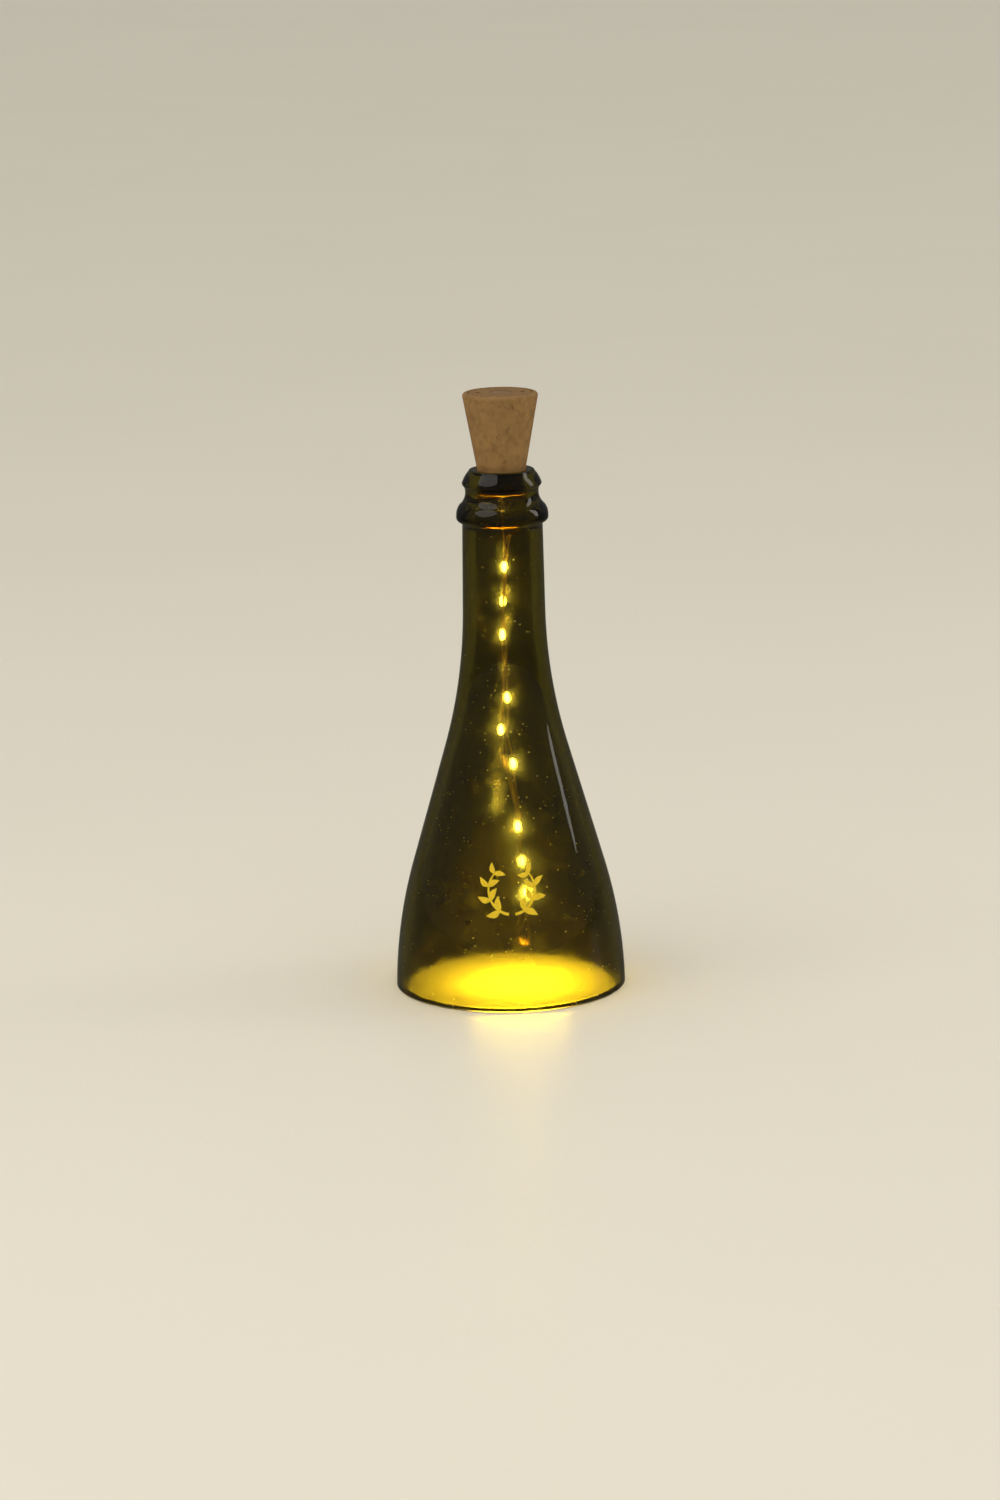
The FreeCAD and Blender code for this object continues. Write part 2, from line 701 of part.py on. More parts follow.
def make_string(points):
    """Twin copper wire of the string as one tube, from the grommet to its free end."""
    path, radii = string_path(points)
    radius = size("string_wire") / 2
    section = Part.Wire(Part.makeCircle(radius, points[0], points[1] - points[0]))
    tube = path.makePipeShell([section], True, True)
    string = doc.addObject("Part::Feature", "light_string")
    string.Shape = tube
    string.Placement = Placement()
    print("string: length {:.1f} mm, volume {:.2f} against {:.2f} mm3".format(
        path.Length, tube.Volume, math.pi * radius ** 2 * path.Length))
    print("string: bend radii " + " ".join("{:.1f}".format(bend) for bend in radii))
    keep(string, "light_string")


def make_lamp(number, start, end):
    """Clear bead with its light chip, both on the straight run from start to end."""
    middle = Placement((start + end) / 2, Rotation(UP, end - start))

    chip = doc.addObject("Part::Box", "chip_{}".format(number))
    chip.setExpression("Length", "Sizes.chip_height")
    chip.setExpression("Width", "Sizes.chip_width")
    chip.setExpression("Height", "Sizes.chip_length")
    corner = Vector(size("string_wire") / 2, -size("chip_width") / 2, -size("chip_length") / 2)
    chip.Placement = middle.multiply(Placement(corner, Rotation()))
    keep(chip, "led_chip_{}".format(number))

    drop = doc.addObject("Part::Ellipsoid", "bead_drop_{}".format(number))
    drop.setExpression("Radius1", "Sizes.bead_half_length")
    drop.setExpression("Radius2", "Sizes.bead_radius")
    drop.setExpression("Radius3", "Sizes.bead_radius")
    drop.Placement = middle.multiply(Placement(Vector(size("bead_offset"), 0, 0), Rotation()))

    bore = doc.addObject("Part::Cylinder", "bead_bore_{}".format(number))
    bore.setExpression("Radius", "Sizes.string_wire / 2 + Sizes.bead_play")
    bore.setExpression("Height", "Sizes.bead_length + 2 * Sizes.overrun")
    foot = Vector(0, 0, -size("bead_half_length") - size("overrun"))
    bore.Placement = middle.multiply(Placement(foot, Rotation()))

    bored = cut("bead_bored_{}".format(number), drop, bore)
    keep(cut("bead_{}".format(number), bored, chip), "led_bead_{}".format(number))


def check_and_write():
    """Stop on any failed object or bad shape, then write each piece to its own file."""
    doc.recompute()
    failed = [item.Label for item in doc.Objects if {"Invalid", "Error"} & set(item.State)]
    failed += [name for name, item in parts.items() if item.Shape.isNull() or not item.Shape.isValid()]
    if failed:
        raise RuntimeError("failed pieces: " + ", ".join(failed))
    os.makedirs("parts", exist_ok=True)
    for name, item in parts.items():
        item.Shape.exportStep("parts/{}.step".format(name))
    print("{} pieces written".format(len(parts)))


def main():
    """Build every piece and write it."""
    fill_sheet()
    make_bottle()
    make_cork_shell()
    make_grommet()
    make_driver()
    make_spring()
    make_rail()
    for number in range(1, CELL_COUNT + 1):
        make_cell(number)
    make_cap()
    make_switch()
    route = [Vector(x, y, size("grommet_bottom_height") - drop) for x, y, drop in STRING_ROUTE]
    make_string(route)
    for number, run in enumerate(LAMP_RUNS, start=1):
        make_lamp(number, route[run], route[run + 1])
    check_and_write()


main()
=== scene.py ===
"""Dresses the cork bottle light: cut bottle, battery cork and lamp string, on a pale table in soft light."""
import json
import logging
import math
import random
from dataclasses import dataclass
from enum import Enum
from typing import Callable, Sequence

import bpy
from mathutils import Matrix, Quaternion, Vector, noise

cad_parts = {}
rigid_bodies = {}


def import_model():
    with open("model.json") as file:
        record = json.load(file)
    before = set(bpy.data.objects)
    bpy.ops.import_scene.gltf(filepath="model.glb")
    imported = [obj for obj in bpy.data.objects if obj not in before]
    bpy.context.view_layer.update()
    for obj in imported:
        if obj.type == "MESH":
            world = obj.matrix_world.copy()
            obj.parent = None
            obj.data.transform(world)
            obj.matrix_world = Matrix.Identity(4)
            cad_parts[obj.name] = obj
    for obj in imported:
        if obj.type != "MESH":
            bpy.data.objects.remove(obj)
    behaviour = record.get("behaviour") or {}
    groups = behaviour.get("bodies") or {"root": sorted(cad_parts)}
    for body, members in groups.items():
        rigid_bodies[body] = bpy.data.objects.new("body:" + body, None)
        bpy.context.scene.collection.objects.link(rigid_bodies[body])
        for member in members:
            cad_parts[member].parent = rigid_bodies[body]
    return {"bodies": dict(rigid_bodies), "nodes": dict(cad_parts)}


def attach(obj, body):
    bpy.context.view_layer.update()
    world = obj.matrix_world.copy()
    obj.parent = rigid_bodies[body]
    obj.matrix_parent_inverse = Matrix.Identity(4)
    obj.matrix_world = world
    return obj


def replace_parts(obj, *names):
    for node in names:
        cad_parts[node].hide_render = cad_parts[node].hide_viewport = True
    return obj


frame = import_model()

LOG = logging.getLogger("cork_bottle_light")
MM = 0.001
UP = Vector((0.0, 0.0, 1.0))
Colour = tuple[float, float, float]
Point = tuple[float, float, float]
Span = tuple[float, float]

# Warm light that the string throws on what is round it
STRING_LIGHT: Colour = (1.0, 0.74, 0.10)

# Part of a soft pattern's scale in which most of its values lie
MOST: Span = (0.3, 0.7)

# Outline of the bottle's finish from the neck up to the bore, in millimetres:
# radius, drop below the mouth, and the arc that leads on
FINISH: tuple[Point, ...] = (
    (14.5, 19.7, 0.0), (15.6, 18.9, 1.7), (16.6, 17.0, 6.0), (15.5, 13.0, -6.0), (13.24, 7.9, -3.0),
    (13.9, 5.9, 1.3), (14.37, 4.9, 12.0), (11.9, 0.6, 0.8), (11.2, 0.0, 0.0), (9.63, 0.0, 0.65),
)

# Route of the lamp string in millimetres as x, y and drop below the grommet:
# down, round the loop, up, over the fold and down again to its end
ROUTE: tuple[Point, ...] = (
    (0.0, 0.0, 0.0), (0.0, 0.0, 7.6), (0.6, 1.3, 19.2), (-0.2, 2.0, 32.4), (-0.6, 1.5, 44.2), (0.6, 2.1, 55.2),
    (-0.3, 1.6, 66.8), (-1.7, 2.3, 80.0), (-2.3, 1.6, 92.6), (0.6, 2.2, 104.8), (3.2, 1.6, 117.6),
    (4.4, 2.2, 130.2), (5.3, 1.9, 142.0), (5.1, 2.3, 151.2), (3.5, 2.0, 157.6), (2.9, 1.6, 162.8),
    (3.7, 1.1, 166.9), (6.4, 0.6, 167.2), (7.0, 0.2, 163.6), (6.4, -0.1, 158.2), (5.9, 0.2, 151.8),
    (5.5, 0.0, 144.0), (3.9, 0.4, 132.2), (4.5, -0.2, 120.3), (2.7, 0.1, 105.4), (1.5, 0.3, 92.4),
    (-1.4, -0.2, 81.1), (-0.4, 0.3, 68.9), (-1.2, -0.1, 56.4), (-0.6, 0.3, 44.4), (0.7, -0.3, 32.9),
    (1.0, 0.0, 23.6), (2.0, -0.2, 17.2), (2.9, -0.5, 13.2), (2.2, -2.3, 12.8), (1.1, -2.6, 15.8),
    (0.5, -2.2, 20.3), (0.15, -1.9, 29.9), (-0.6, -2.3, 41.6), (0.9, -1.8, 53.8), (0.3, -2.2, 66.9),
    (1.1, -1.9, 79.9), (-1.0, -2.3, 90.8), (1.4, -1.9, 103.6), (3.3, -2.2, 115.8), (3.9, -1.8, 128.2),
    (4.7, -2.3, 138.7), (5.3, -1.8, 148.7), (5.9, -1.6, 156.0), (4.4, -1.9, 160.2), (2.6, -2.2, 162.5),
)


class Body(Enum):
    """Bodies of the frame that the pieces made here ride on."""

    BOTTLE = "bottle"
    CORK = "cork"


class Lay(Enum):
    """How the lamp string lies."""

    HANGING = "hanging"


class Paint:
    """Wires one material around a single principled shader."""

    def __init__(self, name: str) -> None:
        """Start a material with its shader.

        Args:
            name: Name of the material.
        """
        self.material = bpy.data.materials.new(name)
        self.material.use_nodes = True
        self.tree = self.material.node_tree
        self.shader = self.tree.nodes["Principled BSDF"]
        self.output = self.tree.nodes["Material Output"]
        self.place = self.tree.nodes.new("ShaderNodeTexCoord").outputs["Object"]

    def fix(self, socket: str, value: float | Sequence[float]) -> None:
        """Set a value that is the same all over the surface on the shader's own socket."""
        self.shader.inputs[socket].default_value = value

    def join(self, source: bpy.types.NodeSocket, socket: str) -> None:
        """Lead a pattern into a socket of the shader."""
        self.tree.links.new(source, self.shader.inputs[socket])

    def stretched(self, stretch: Point) -> bpy.types.NodeSocket:
        """Surface place with each axis scaled.

        Args:
            stretch: Scale along X, Y and Z.

        Returns:
            Vector socket for a pattern.
        """
        mapping = self.tree.nodes.new("ShaderNodeMapping")
        mapping.inputs["Scale"].default_value = stretch
        self.tree.links.new(self.place, mapping.inputs["Vector"])
        return mapping.outputs["Vector"]

    def grain(self, per_metre: float, detail: float = 4.0, rough: float = 0.6,
              stretch: Point = (1.0, 1.0, 1.0)) -> bpy.types.NodeSocket:
        """Soft irregular pattern.

        Args:
            per_metre: Number of its patches in a metre.
            detail: Octaves of finer pattern.
            rough: Strength of the finer octaves.
            stretch: Scale along X, Y and Z.

        Returns:
            Value socket from 0 to 1.
        """
        pattern = self.tree.nodes.new("ShaderNodeTexNoise")
        pattern.inputs["Scale"].default_value = per_metre
        pattern.inputs["Detail"].default_value = detail
        pattern.inputs["Roughness"].default_value = rough
        self.tree.links.new(self.stretched(stretch), pattern.inputs["Vector"])
        return pattern.outputs["Fac"]

    def cells(self, per_metre: float, stretch: Point = (1.0, 1.0, 1.0),
              shades: bool = False) -> bpy.types.NodeSocket:
        """Pattern of cells, as distance to their middles or as one shade for each.

        Args:
            per_metre: Number of cells in a metre.
            stretch: Scale along X, Y and Z.
            shades: True for one random shade for each cell.

        Returns:
            Distance or colour socket.
        """
        pattern = self.tree.nodes.new("ShaderNodeTexVoronoi")
        pattern.inputs["Scale"].default_value = per_metre
        self.tree.links.new(self.stretched(stretch), pattern.inputs["Vector"])
        return pattern.outputs["Color" if shades else "Distance"]

    def mark(self, name: str) -> bpy.types.NodeSocket:
        """Value that the mesh itself carries at each corner.

        Args:
            name: Name it is carried under.

        Returns:
            Value socket.
        """
        node = self.tree.nodes.new("ShaderNodeAttribute")
        node.attribute_name = name
        return node.outputs["Fac"]

    def height(self) -> bpy.types.NodeSocket:
        """Height of the surface above the table.

        Returns:
            Value socket, in metres.
        """
        split = self.tree.nodes.new("ShaderNodeSeparateXYZ")
        self.tree.links.new(self.place, split.inputs["Vector"])
        return split.outputs["Z"]

    def math(self, kind: str, first: bpy.types.NodeSocket | float,
             second: bpy.types.NodeSocket | float = 0.0) -> bpy.types.NodeSocket:
        """Sum, product or other combination of two values.

        Args:
            kind: Name of the combination.
            first: Value or value socket.
            second: Value or value socket.

        Returns:
            Value socket.
        """
        node = self.tree.nodes.new("ShaderNodeMath")
        node.operation = kind
        for socket, value in zip(node.inputs, (first, second)):
            if isinstance(value, bpy.types.NodeSocket):
                self.tree.links.new(value, socket)
            else:
                socket.default_value = value
        return node.outputs["Value"]

    def spread(self, source: bpy.types.NodeSocket, low: float, high: float,
               to_low: float = 0.0, to_high: float = 1.0) -> bpy.types.NodeSocket:
        """Stretch a part of a pattern over another range, and hold it there.

        Args:
            source: Value socket of the pattern.
            low: Where the part starts, which may be above its end.
            high: Where it ends.
            to_low: Value given at the start.
            to_high: Value given at the end.

        Returns:
            Value socket.
        """
        node = self.tree.nodes.new("ShaderNodeMapRange")
        for socket, value in zip(("From Min", "From Max", "To Min", "To Max"), (low, high, to_low, to_high)):
            node.inputs[socket].default_value = value
        self.tree.links.new(source, node.inputs["Value"])
        return node.outputs["Result"]

    def shade(self, source: bpy.types.NodeSocket, stops: Sequence[tuple[float, Colour]]) -> bpy.types.NodeSocket:
        """Turn a value into colours.

        Args:
            source: Value socket.
            stops: Places from 0 to 1, each with its colour.

        Returns:
            Colour socket.
        """
        ramp = self.tree.nodes.new("ShaderNodeValToRGB")
        points = ramp.color_ramp.elements
        while len(points) < len(stops):
            points.new(0.5)
        for point, (where, colour) in zip(points, stops):
            point.position = where
            point.color = (*colour, 1.0)
        self.tree.links.new(source, ramp.inputs["Fac"])
        return ramp.outputs["Color"]

    def blend(self, share: bpy.types.NodeSocket | float, first: bpy.types.NodeSocket | Colour,
              second: bpy.types.NodeSocket | Colour) -> bpy.types.NodeSocket:
        """Mix two colours.

        Args:
            share: How much of the second one shows.
            first: Colour or colour socket.
            second: Colour or colour socket.

        Returns:
            Colour socket.
        """
        node = self.tree.nodes.new("ShaderNodeMix")
        node.data_type = "RGBA"
        for index, value in ((0, share), (6, first), (7, second)):
            socket = node.inputs[index]
            if isinstance(value, bpy.types.NodeSocket):
                self.tree.links.new(value, socket)
            else:
                socket.default_value = value if index == 0 else (*value, 1.0)
        return node.outputs[2]

    def relief(self, source: bpy.types.NodeSocket, depth: float, strength: float = 1.0) -> None:
        """Raise and sink the surface by a pattern.

        Args:
            source: Value socket of the pattern.
            depth: Depth of the relief in metres.
            strength: How strongly it shows.
        """
        bump = self.tree.nodes.new("ShaderNodeBump")
        bump.inputs["Distance"].default_value = depth
        bump.inputs["Strength"].default_value = strength
        self.tree.links.new(source, bump.inputs["Height"])
        self.tree.links.new(bump.outputs["Normal"], self.shader.inputs["Normal"])


def mirrored(tree: bpy.types.NodeTree) -> bpy.types.NodeSocket:
    """Tell a reflection from a direct look and a look through glass.

    Args:
        tree: Nodes that ask for it.

    Returns:
        Value socket: one where the thing is seen in a reflection, otherwise nothing.
    """
    ray = tree.nodes.new("ShaderNodeLightPath").outputs
    only = tree.nodes.new("ShaderNodeMath")
    only.operation = "SUBTRACT"
    only.use_clamp = True
    tree.links.new(ray["Is Glossy Ray"], only.inputs[0])
    tree.links.new(ray["Is Transmission Ray"], only.inputs[1])
    return only.outputs["Value"]


@dataclass(frozen=True)
class BottleGlass:
    """Dark olive bottle glass with dust, fine streaks and a ground, frosted rim."""

    tint: Colour = (0.24, 0.215, 0.04)
    dust: Colour = (0.86, 0.80, 0.52)
    body: Colour = (0.62, 0.60, 0.12)
    density: float = 300.0
    ior: float = 1.52
    polish: float = 0.02
    film: Span = (0.10, 0.22)
    film_edge: Span = (0.3, 0.75)
    film_per_metre: float = 140.0
    streaks_per_metre: float = 26.0
    streak_stretch: Point = (1.0, 1.0, 0.18)
    streak_shade: float = 0.93
    specks_per_metre: float = 420.0
    speck_edge: Span = (0.14, 0.10)
    patches_per_metre: float = 90.0
    patch_edge: Span = (0.43, 0.52)
    rim_height: float = 0.6 * MM
    rim_edge: Span = (1.3, 0.6)
    frost: float = 0.55
    pale_cover: float = 0.85
    pale_rough: float = 0.6
    ripples_per_metre: float = 75.0
    ripple_stretch: Point = (1.0, 1.0, 0.35)
    ripple_depth: float = 0.35 * MM
    ripple_strength: float = 0.35

    def make(self) -> bpy.types.Material:
        """Wire the finish.

        Returns:
            The material.
        """
        paint = Paint("bottle_glass")
        paint.fix("IOR", self.ior)
        streaks = paint.grain(self.streaks_per_metre, 3.0, 0.5, self.streak_stretch)
        shaded = tuple(self.streak_shade * c for c in self.tint)
        tint = paint.shade(streaks, list(zip(MOST, (shaded, self.tint))))
        inner = paint.mark("inside")
        specks = paint.spread(paint.cells(self.specks_per_metre), *self.speck_edge)
        patches = paint.spread(paint.grain(self.patches_per_metre, 2.0), *self.patch_edge)
        dust = paint.math("MULTIPLY", paint.math("MULTIPLY", specks, patches), inner)
        ground = paint.spread(paint.height(), *(self.rim_height * share for share in self.rim_edge))
        pale = paint.math("MAXIMUM", dust, paint.math("MULTIPLY", ground, self.frost))
        clear = paint.math("SUBTRACT", 1.0, paint.math("MULTIPLY", pale, self.pale_cover))
        paint.join(paint.blend(pale, tint, self.dust), "Base Color")
        paint.join(clear, "Transmission Weight")
        film = paint.spread(paint.grain(self.film_per_metre, 5.0, 0.65), *self.film_edge, *self.film)
        film = paint.math("MAXIMUM", paint.math("MULTIPLY", film, inner), self.polish)
        rough = paint.math("MAXIMUM", film, paint.math("MULTIPLY", pale, self.pale_rough))
        paint.join(rough, "Roughness")
        ripples = paint.grain(self.ripples_per_metre, 3.0, 0.5, self.ripple_stretch)
        paint.relief(ripples, self.ripple_depth, self.ripple_strength)
        absorb = paint.tree.nodes.new("ShaderNodeVolumeAbsorption")
        absorb.inputs["Color"].default_value = (*self.body, 1.0)
        absorb.inputs["Density"].default_value = self.density
        paint.tree.links.new(absorb.outputs["Volume"], paint.output.inputs["Volume"])
        return paint.material


@dataclass(frozen=True)
class CorkMoulding:
    """Cork-brown moulding with granules, small dark pores and a faint glow of light inside it."""

    name: str
    light: Colour = (0.31, 0.17, 0.052)
    dark: Colour = (0.20, 0.105, 0.031)
    pore: Colour = (0.09, 0.045, 0.016)
    rough: Span = (0.55, 0.78)
    shine: float = 0.32
    glow: float = 0.12
    glow_reach: Point = (4.0 * MM, 1.8 * MM, 0.8 * MM)
    granules_per_metre: float = 620.0
    granule_stretch: Point = (1.0, 1.0, 0.8)
    granule_tones: Point = (0.15, 0.55, 0.9)
    granule_share: float = 0.55
    clouds_per_metre: float = 190.0
    cloud_edge: Span = (0.32, 0.66)
    pores_per_metre: float = 900.0
    pore_stretch: Point = (1.0, 1.0, 0.45)
    pore_edge: Span = (0.30, 0.16)
    pore_patches_per_metre: float = 240.0
    pore_patch_edge: Span = (0.55, 0.68)
    grain_per_metre: float = 2600.0
    grain_relief: float = 0.4
    relief_depth: float = 0.12 * MM
    relief_strength: float = 0.55

    def make(self) -> bpy.types.Material:
        """Wire the finish.

        Returns:
            The material.
        """
        paint = Paint(self.name)
        paint.fix("Specular IOR Level", self.shine)
        paint.fix("Subsurface Weight", self.glow)
        paint.fix("Subsurface Radius", self.glow_reach)
        granules = paint.cells(self.granules_per_metre, self.granule_stretch, shades=True)
        tones = paint.shade(granules, list(zip(self.granule_tones, (self.dark, self.light, self.light))))
        clouds = paint.grain(self.clouds_per_metre, 5.0, 0.65)
        cloudy = paint.shade(clouds, list(zip(self.cloud_edge, (self.dark, self.light))))
        body = paint.blend(self.granule_share, tones, cloudy)
        dots = paint.spread(paint.cells(self.pores_per_metre, self.pore_stretch), *self.pore_edge)
        patches = paint.spread(paint.grain(self.pore_patches_per_metre, 2.0), *self.pore_patch_edge)
        pores = paint.math("MULTIPLY", dots, patches)
        paint.join(paint.blend(pores, body, self.pore), "Base Color")
        fine = paint.grain(self.grain_per_metre, 3.0, 0.7)
        paint.join(paint.spread(fine, *MOST, *self.rough), "Roughness")
        raised = paint.math("SUBTRACT", paint.math("MULTIPLY", fine, self.grain_relief), pores)
        paint.relief(raised, self.relief_depth, self.relief_strength)
        return paint.material


@dataclass(frozen=True)
class PrintEnamel:
    """Yellow print fired on the glass, a little uneven and worn."""

    full: Colour = (0.84, 0.58, 0.02)
    thin: Colour = (0.66, 0.44, 0.012)
    wear_edge: Span = (0.3, 0.6)
    rough: Span = (0.28, 0.5)
    shine: float = 0.2
    per_metre: float = 700.0
    relief_depth: float = 0.03 * MM
    relief_strength: float = 0.5

    def make(self) -> bpy.types.Material:
        """Wire the finish.

        Returns:
            The material.
        """
        paint = Paint("print_enamel")
        paint.fix("Specular IOR Level", self.shine)
        body = paint.grain(self.per_metre, 5.0, 0.7)
        paint.join(paint.shade(body, list(zip(self.wear_edge, (self.thin, self.full)))), "Base Color")
        paint.join(paint.spread(body, *MOST, *self.rough), "Roughness")
        paint.relief(body, self.relief_depth, self.relief_strength)
        return paint.material


@dataclass(frozen=True)
class Metal:
    """Plain or plated metal with fine marks of drawing or stamping."""

    name: str
    colour: Colour
    shadow: Colour
    rough: Span = (0.2, 0.4)
    marks: Point = (1.0, 1.0, 0.1)
    per_metre: float = 3500.0
    coat: float = 0.0
    stain_share: float = 0.06
    stain_edge: Span = (0.35, 0.6)
    relief_depth: float = 0.02 * MM
    relief_strength: float = 0.4

    def make(self) -> bpy.types.Material:
        """Wire the finish.

        Returns:
            The material.
        """
        paint = Paint(self.name)
        paint.fix("Metallic", 1.0)
        paint.fix("Coat Weight", self.coat)
        marks = paint.grain(self.per_metre, 3.0, 0.6, self.marks)
        stain = paint.grain(self.per_metre * self.stain_share, 4.0, 0.6)
        paint.join(paint.shade(stain, list(zip(self.stain_edge, (self.shadow, self.colour)))), "Base Color")
        paint.join(paint.spread(marks, *MOST, *self.rough), "Roughness")
        paint.relief(marks, self.relief_depth, self.relief_strength)
        return paint.material


@dataclass(frozen=True)
class Moulded:
    """Small moulded or rubber part with a fine tooled grain."""

    name: str
    colour: Colour
    shadow: Colour
    rough: Span = (0.3, 0.5)
    per_metre: float = 2800.0
    clear: float = 0.0
    cloud_share: float = 0.08
    relief_depth: float = 0.03 * MM
    relief_strength: float = 0.5

    def make(self) -> bpy.types.Material:
        """Wire the finish.

        Returns:
            The material.
        """
        paint = Paint(self.name)
        paint.fix("Transmission Weight", self.clear)
        fine = paint.grain(self.per_metre, 3.0, 0.6)
        cloud = paint.grain(self.per_metre * self.cloud_share, 3.0, 0.5)
        paint.join(paint.shade(cloud, list(zip(MOST, (self.shadow, self.colour)))), "Base Color")
        paint.join(paint.spread(fine, *MOST, *self.rough), "Roughness")
        paint.relief(fine, self.relief_depth, self.relief_strength)
        return paint.material


@dataclass(frozen=True)
class CircuitBoard:
    """Green varnish over copper tracks and pads."""

    varnish: Colour = (0.03, 0.17, 0.07)
    track: Colour = (0.06, 0.30, 0.12)
    solder: Colour = (0.72, 0.72, 0.70)
    rough: Span = (0.25, 0.45)
    coat: float = 0.3
    tracks_per_metre: float = 330.0
    track_edge: Span = (0.34, 0.38)
    pads_per_metre: float = 240.0
    pad_edge: Span = (0.17, 0.13)
    fine_per_metre: float = 1500.0
    relief_depth: float = 0.03 * MM
    relief_strength: float = 0.5

    def make(self) -> bpy.types.Material:
        """Wire the finish.

        Returns:
            The material.
        """
        paint = Paint("circuit_board")
        paint.fix("Coat Weight", self.coat)
        tracks = paint.spread(paint.cells(self.tracks_per_metre), *self.track_edge)
        pads = paint.spread(paint.cells(self.pads_per_metre), *self.pad_edge)
        base = paint.blend(tracks, self.track, self.varnish)
        paint.join(paint.blend(pads, base, self.solder), "Base Color")
        paint.join(pads, "Metallic")
        paint.join(paint.spread(paint.grain(self.fine_per_metre), *MOST, *self.rough), "Roughness")
        paint.relief(tracks, self.relief_depth, self.relief_strength)
        return paint.material


@dataclass(frozen=True)
class LampGlow:
    """Clear epoxy or phosphor that shines warm white."""

    name: str
    colour: Colour = (1.0, 0.84, 0.50)
    tint: Colour = (1.0, 0.86, 0.55)
    rough: Span = (0.05, 0.16)
    strength: float = 1600.0
    clear: float = 0.5
    ior: float = 1.5
    drops_per_metre: float = 1800.0
    drop_shade: float = 0.9

    def make(self) -> bpy.types.Material:
        """Wire the finish.

        Returns:
            The material.
        """
        paint = Paint(self.name)
        paint.fix("Transmission Weight", self.clear)
        paint.fix("IOR", self.ior)
        paint.fix("Emission Color", (*self.colour, 1.0))
        drops = paint.grain(self.drops_per_metre, 2.0, 0.5)
        shaded = tuple(self.drop_shade * c for c in self.tint)
        paint.join(paint.shade(drops, list(zip(MOST, (shaded, self.tint)))), "Base Color")
        paint.join(paint.spread(drops, *MOST, *self.rough), "Roughness")
        paint.fix("Emission Strength", self.strength)
        paint.material.cycles.emission_sampling = "FRONT"
        return paint.material


@dataclass(frozen=True)
class PaleTable:
    """Pale satin table whose colour is painted darker where it is seen in glossy things: painted shade on its
    reflection.
    """

    colour: Colour = (0.86, 0.81, 0.69)
    # share of the table's colour left where it is seen in a reflection: painted shade on the reflection
    mirrored_share: float = 0.12
    shine: float = 0.2
    rough: Span = (0.30, 0.38)
    clouds_per_metre: float = 5.0
    cloud_shade: float = 0.985
    fine_per_metre: float = 900.0

    def make(self) -> bpy.types.Material:
        """Wire the finish.

        Returns:
            The material.
        """
        paint = Paint("pale_table")
        paint.fix("Specular IOR Level", self.shine)
        clouds = paint.grain(self.clouds_per_metre, 3.0, 0.5)
        shaded = tuple(self.cloud_shade * c for c in self.colour)
        pale = paint.shade(clouds, list(zip(MOST, (shaded, self.colour))))
        # painted shade: the table's colour is darkened where it is seen in a reflection
        dim = tuple(self.mirrored_share * c for c in self.colour)
        paint.join(paint.blend(mirrored(paint.tree), pale, dim), "Base Color")
        paint.join(paint.spread(paint.grain(self.fine_per_metre), *MOST, *self.rough), "Roughness")
        return paint.material


@dataclass(frozen=True)
class Corner:
    """Corner of a turned outline; its arc leads to the next corner and bulges right, or left where negative."""

    radius: float
    height: float
    arc: float = 0.0


def trace(corners: Sequence[Corner], step: float, arc_step: float = math.radians(9)) -> list[Span]:
    """Points along a closed outline of lines and arcs.

    Args:
        corners: Corners in order, up the outside and down the inside.
        step: Longest distance between two points.
        arc_step: Greatest turn of an arc between two points.

    Returns:
        Radius and height of each point.
    """
    points: list[Span] = []
    for here, there in zip(corners, [*corners[1:], corners[0]]):
        start, end = Vector((here.radius, here.height)), Vector((there.radius, there.height))
        chord = end - start
        count = max(1, math.ceil(chord.length / step))
        if not here.arc:
            points += [tuple(start + chord * (k / count)) for k in range(count)]
            continue
        bulge = math.copysign(1.0, here.arc)
        radius = abs(here.arc)
        side = Vector((chord.y, -chord.x)).normalized() * bulge
        centre = (start + end) / 2 - side * math.sqrt(radius ** 2 - (chord.length / 2) ** 2)
        sweep = 2 * math.asin(chord.length / 2 / radius) * bulge
        count = max(count, math.ceil(abs(sweep) / arc_step))
        arm = start - centre
        for k in range(count):
            turn = sweep * k / count
            points.append((centre.x + arm.x * math.cos(turn) - arm.y * math.sin(turn),
                           centre.y + arm.x * math.sin(turn) + arm.y * math.cos(turn)))
    return points


def new_piece(name: str, points: Sequence[Point], faces: Sequence[Sequence[int]], material: bpy.types.Material,
              body: Body) -> bpy.types.Object:
    """Make a mesh, dress it and let it ride on a body.

    Args:
        name: Name of the piece.
        points: Its corners in metres.
        faces: Corner numbers of each face.
        material: Its finish.
        body: Body of the frame it moves with.

    Returns:
        The new object.
    """
    mesh = bpy.data.meshes.new(name)
    mesh.from_pydata([tuple(p) for p in points], [], [tuple(f) for f in faces])
    mesh.validate()
    mesh.shade_smooth()
    mesh.materials.append(material)
    piece = bpy.data.objects.new(name, mesh)
    bpy.context.scene.collection.objects.link(piece)
    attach(piece, body.value)
    LOG.info("%s: %d corners, rides on %s", name, len(mesh.vertices), body.value)
    return piece


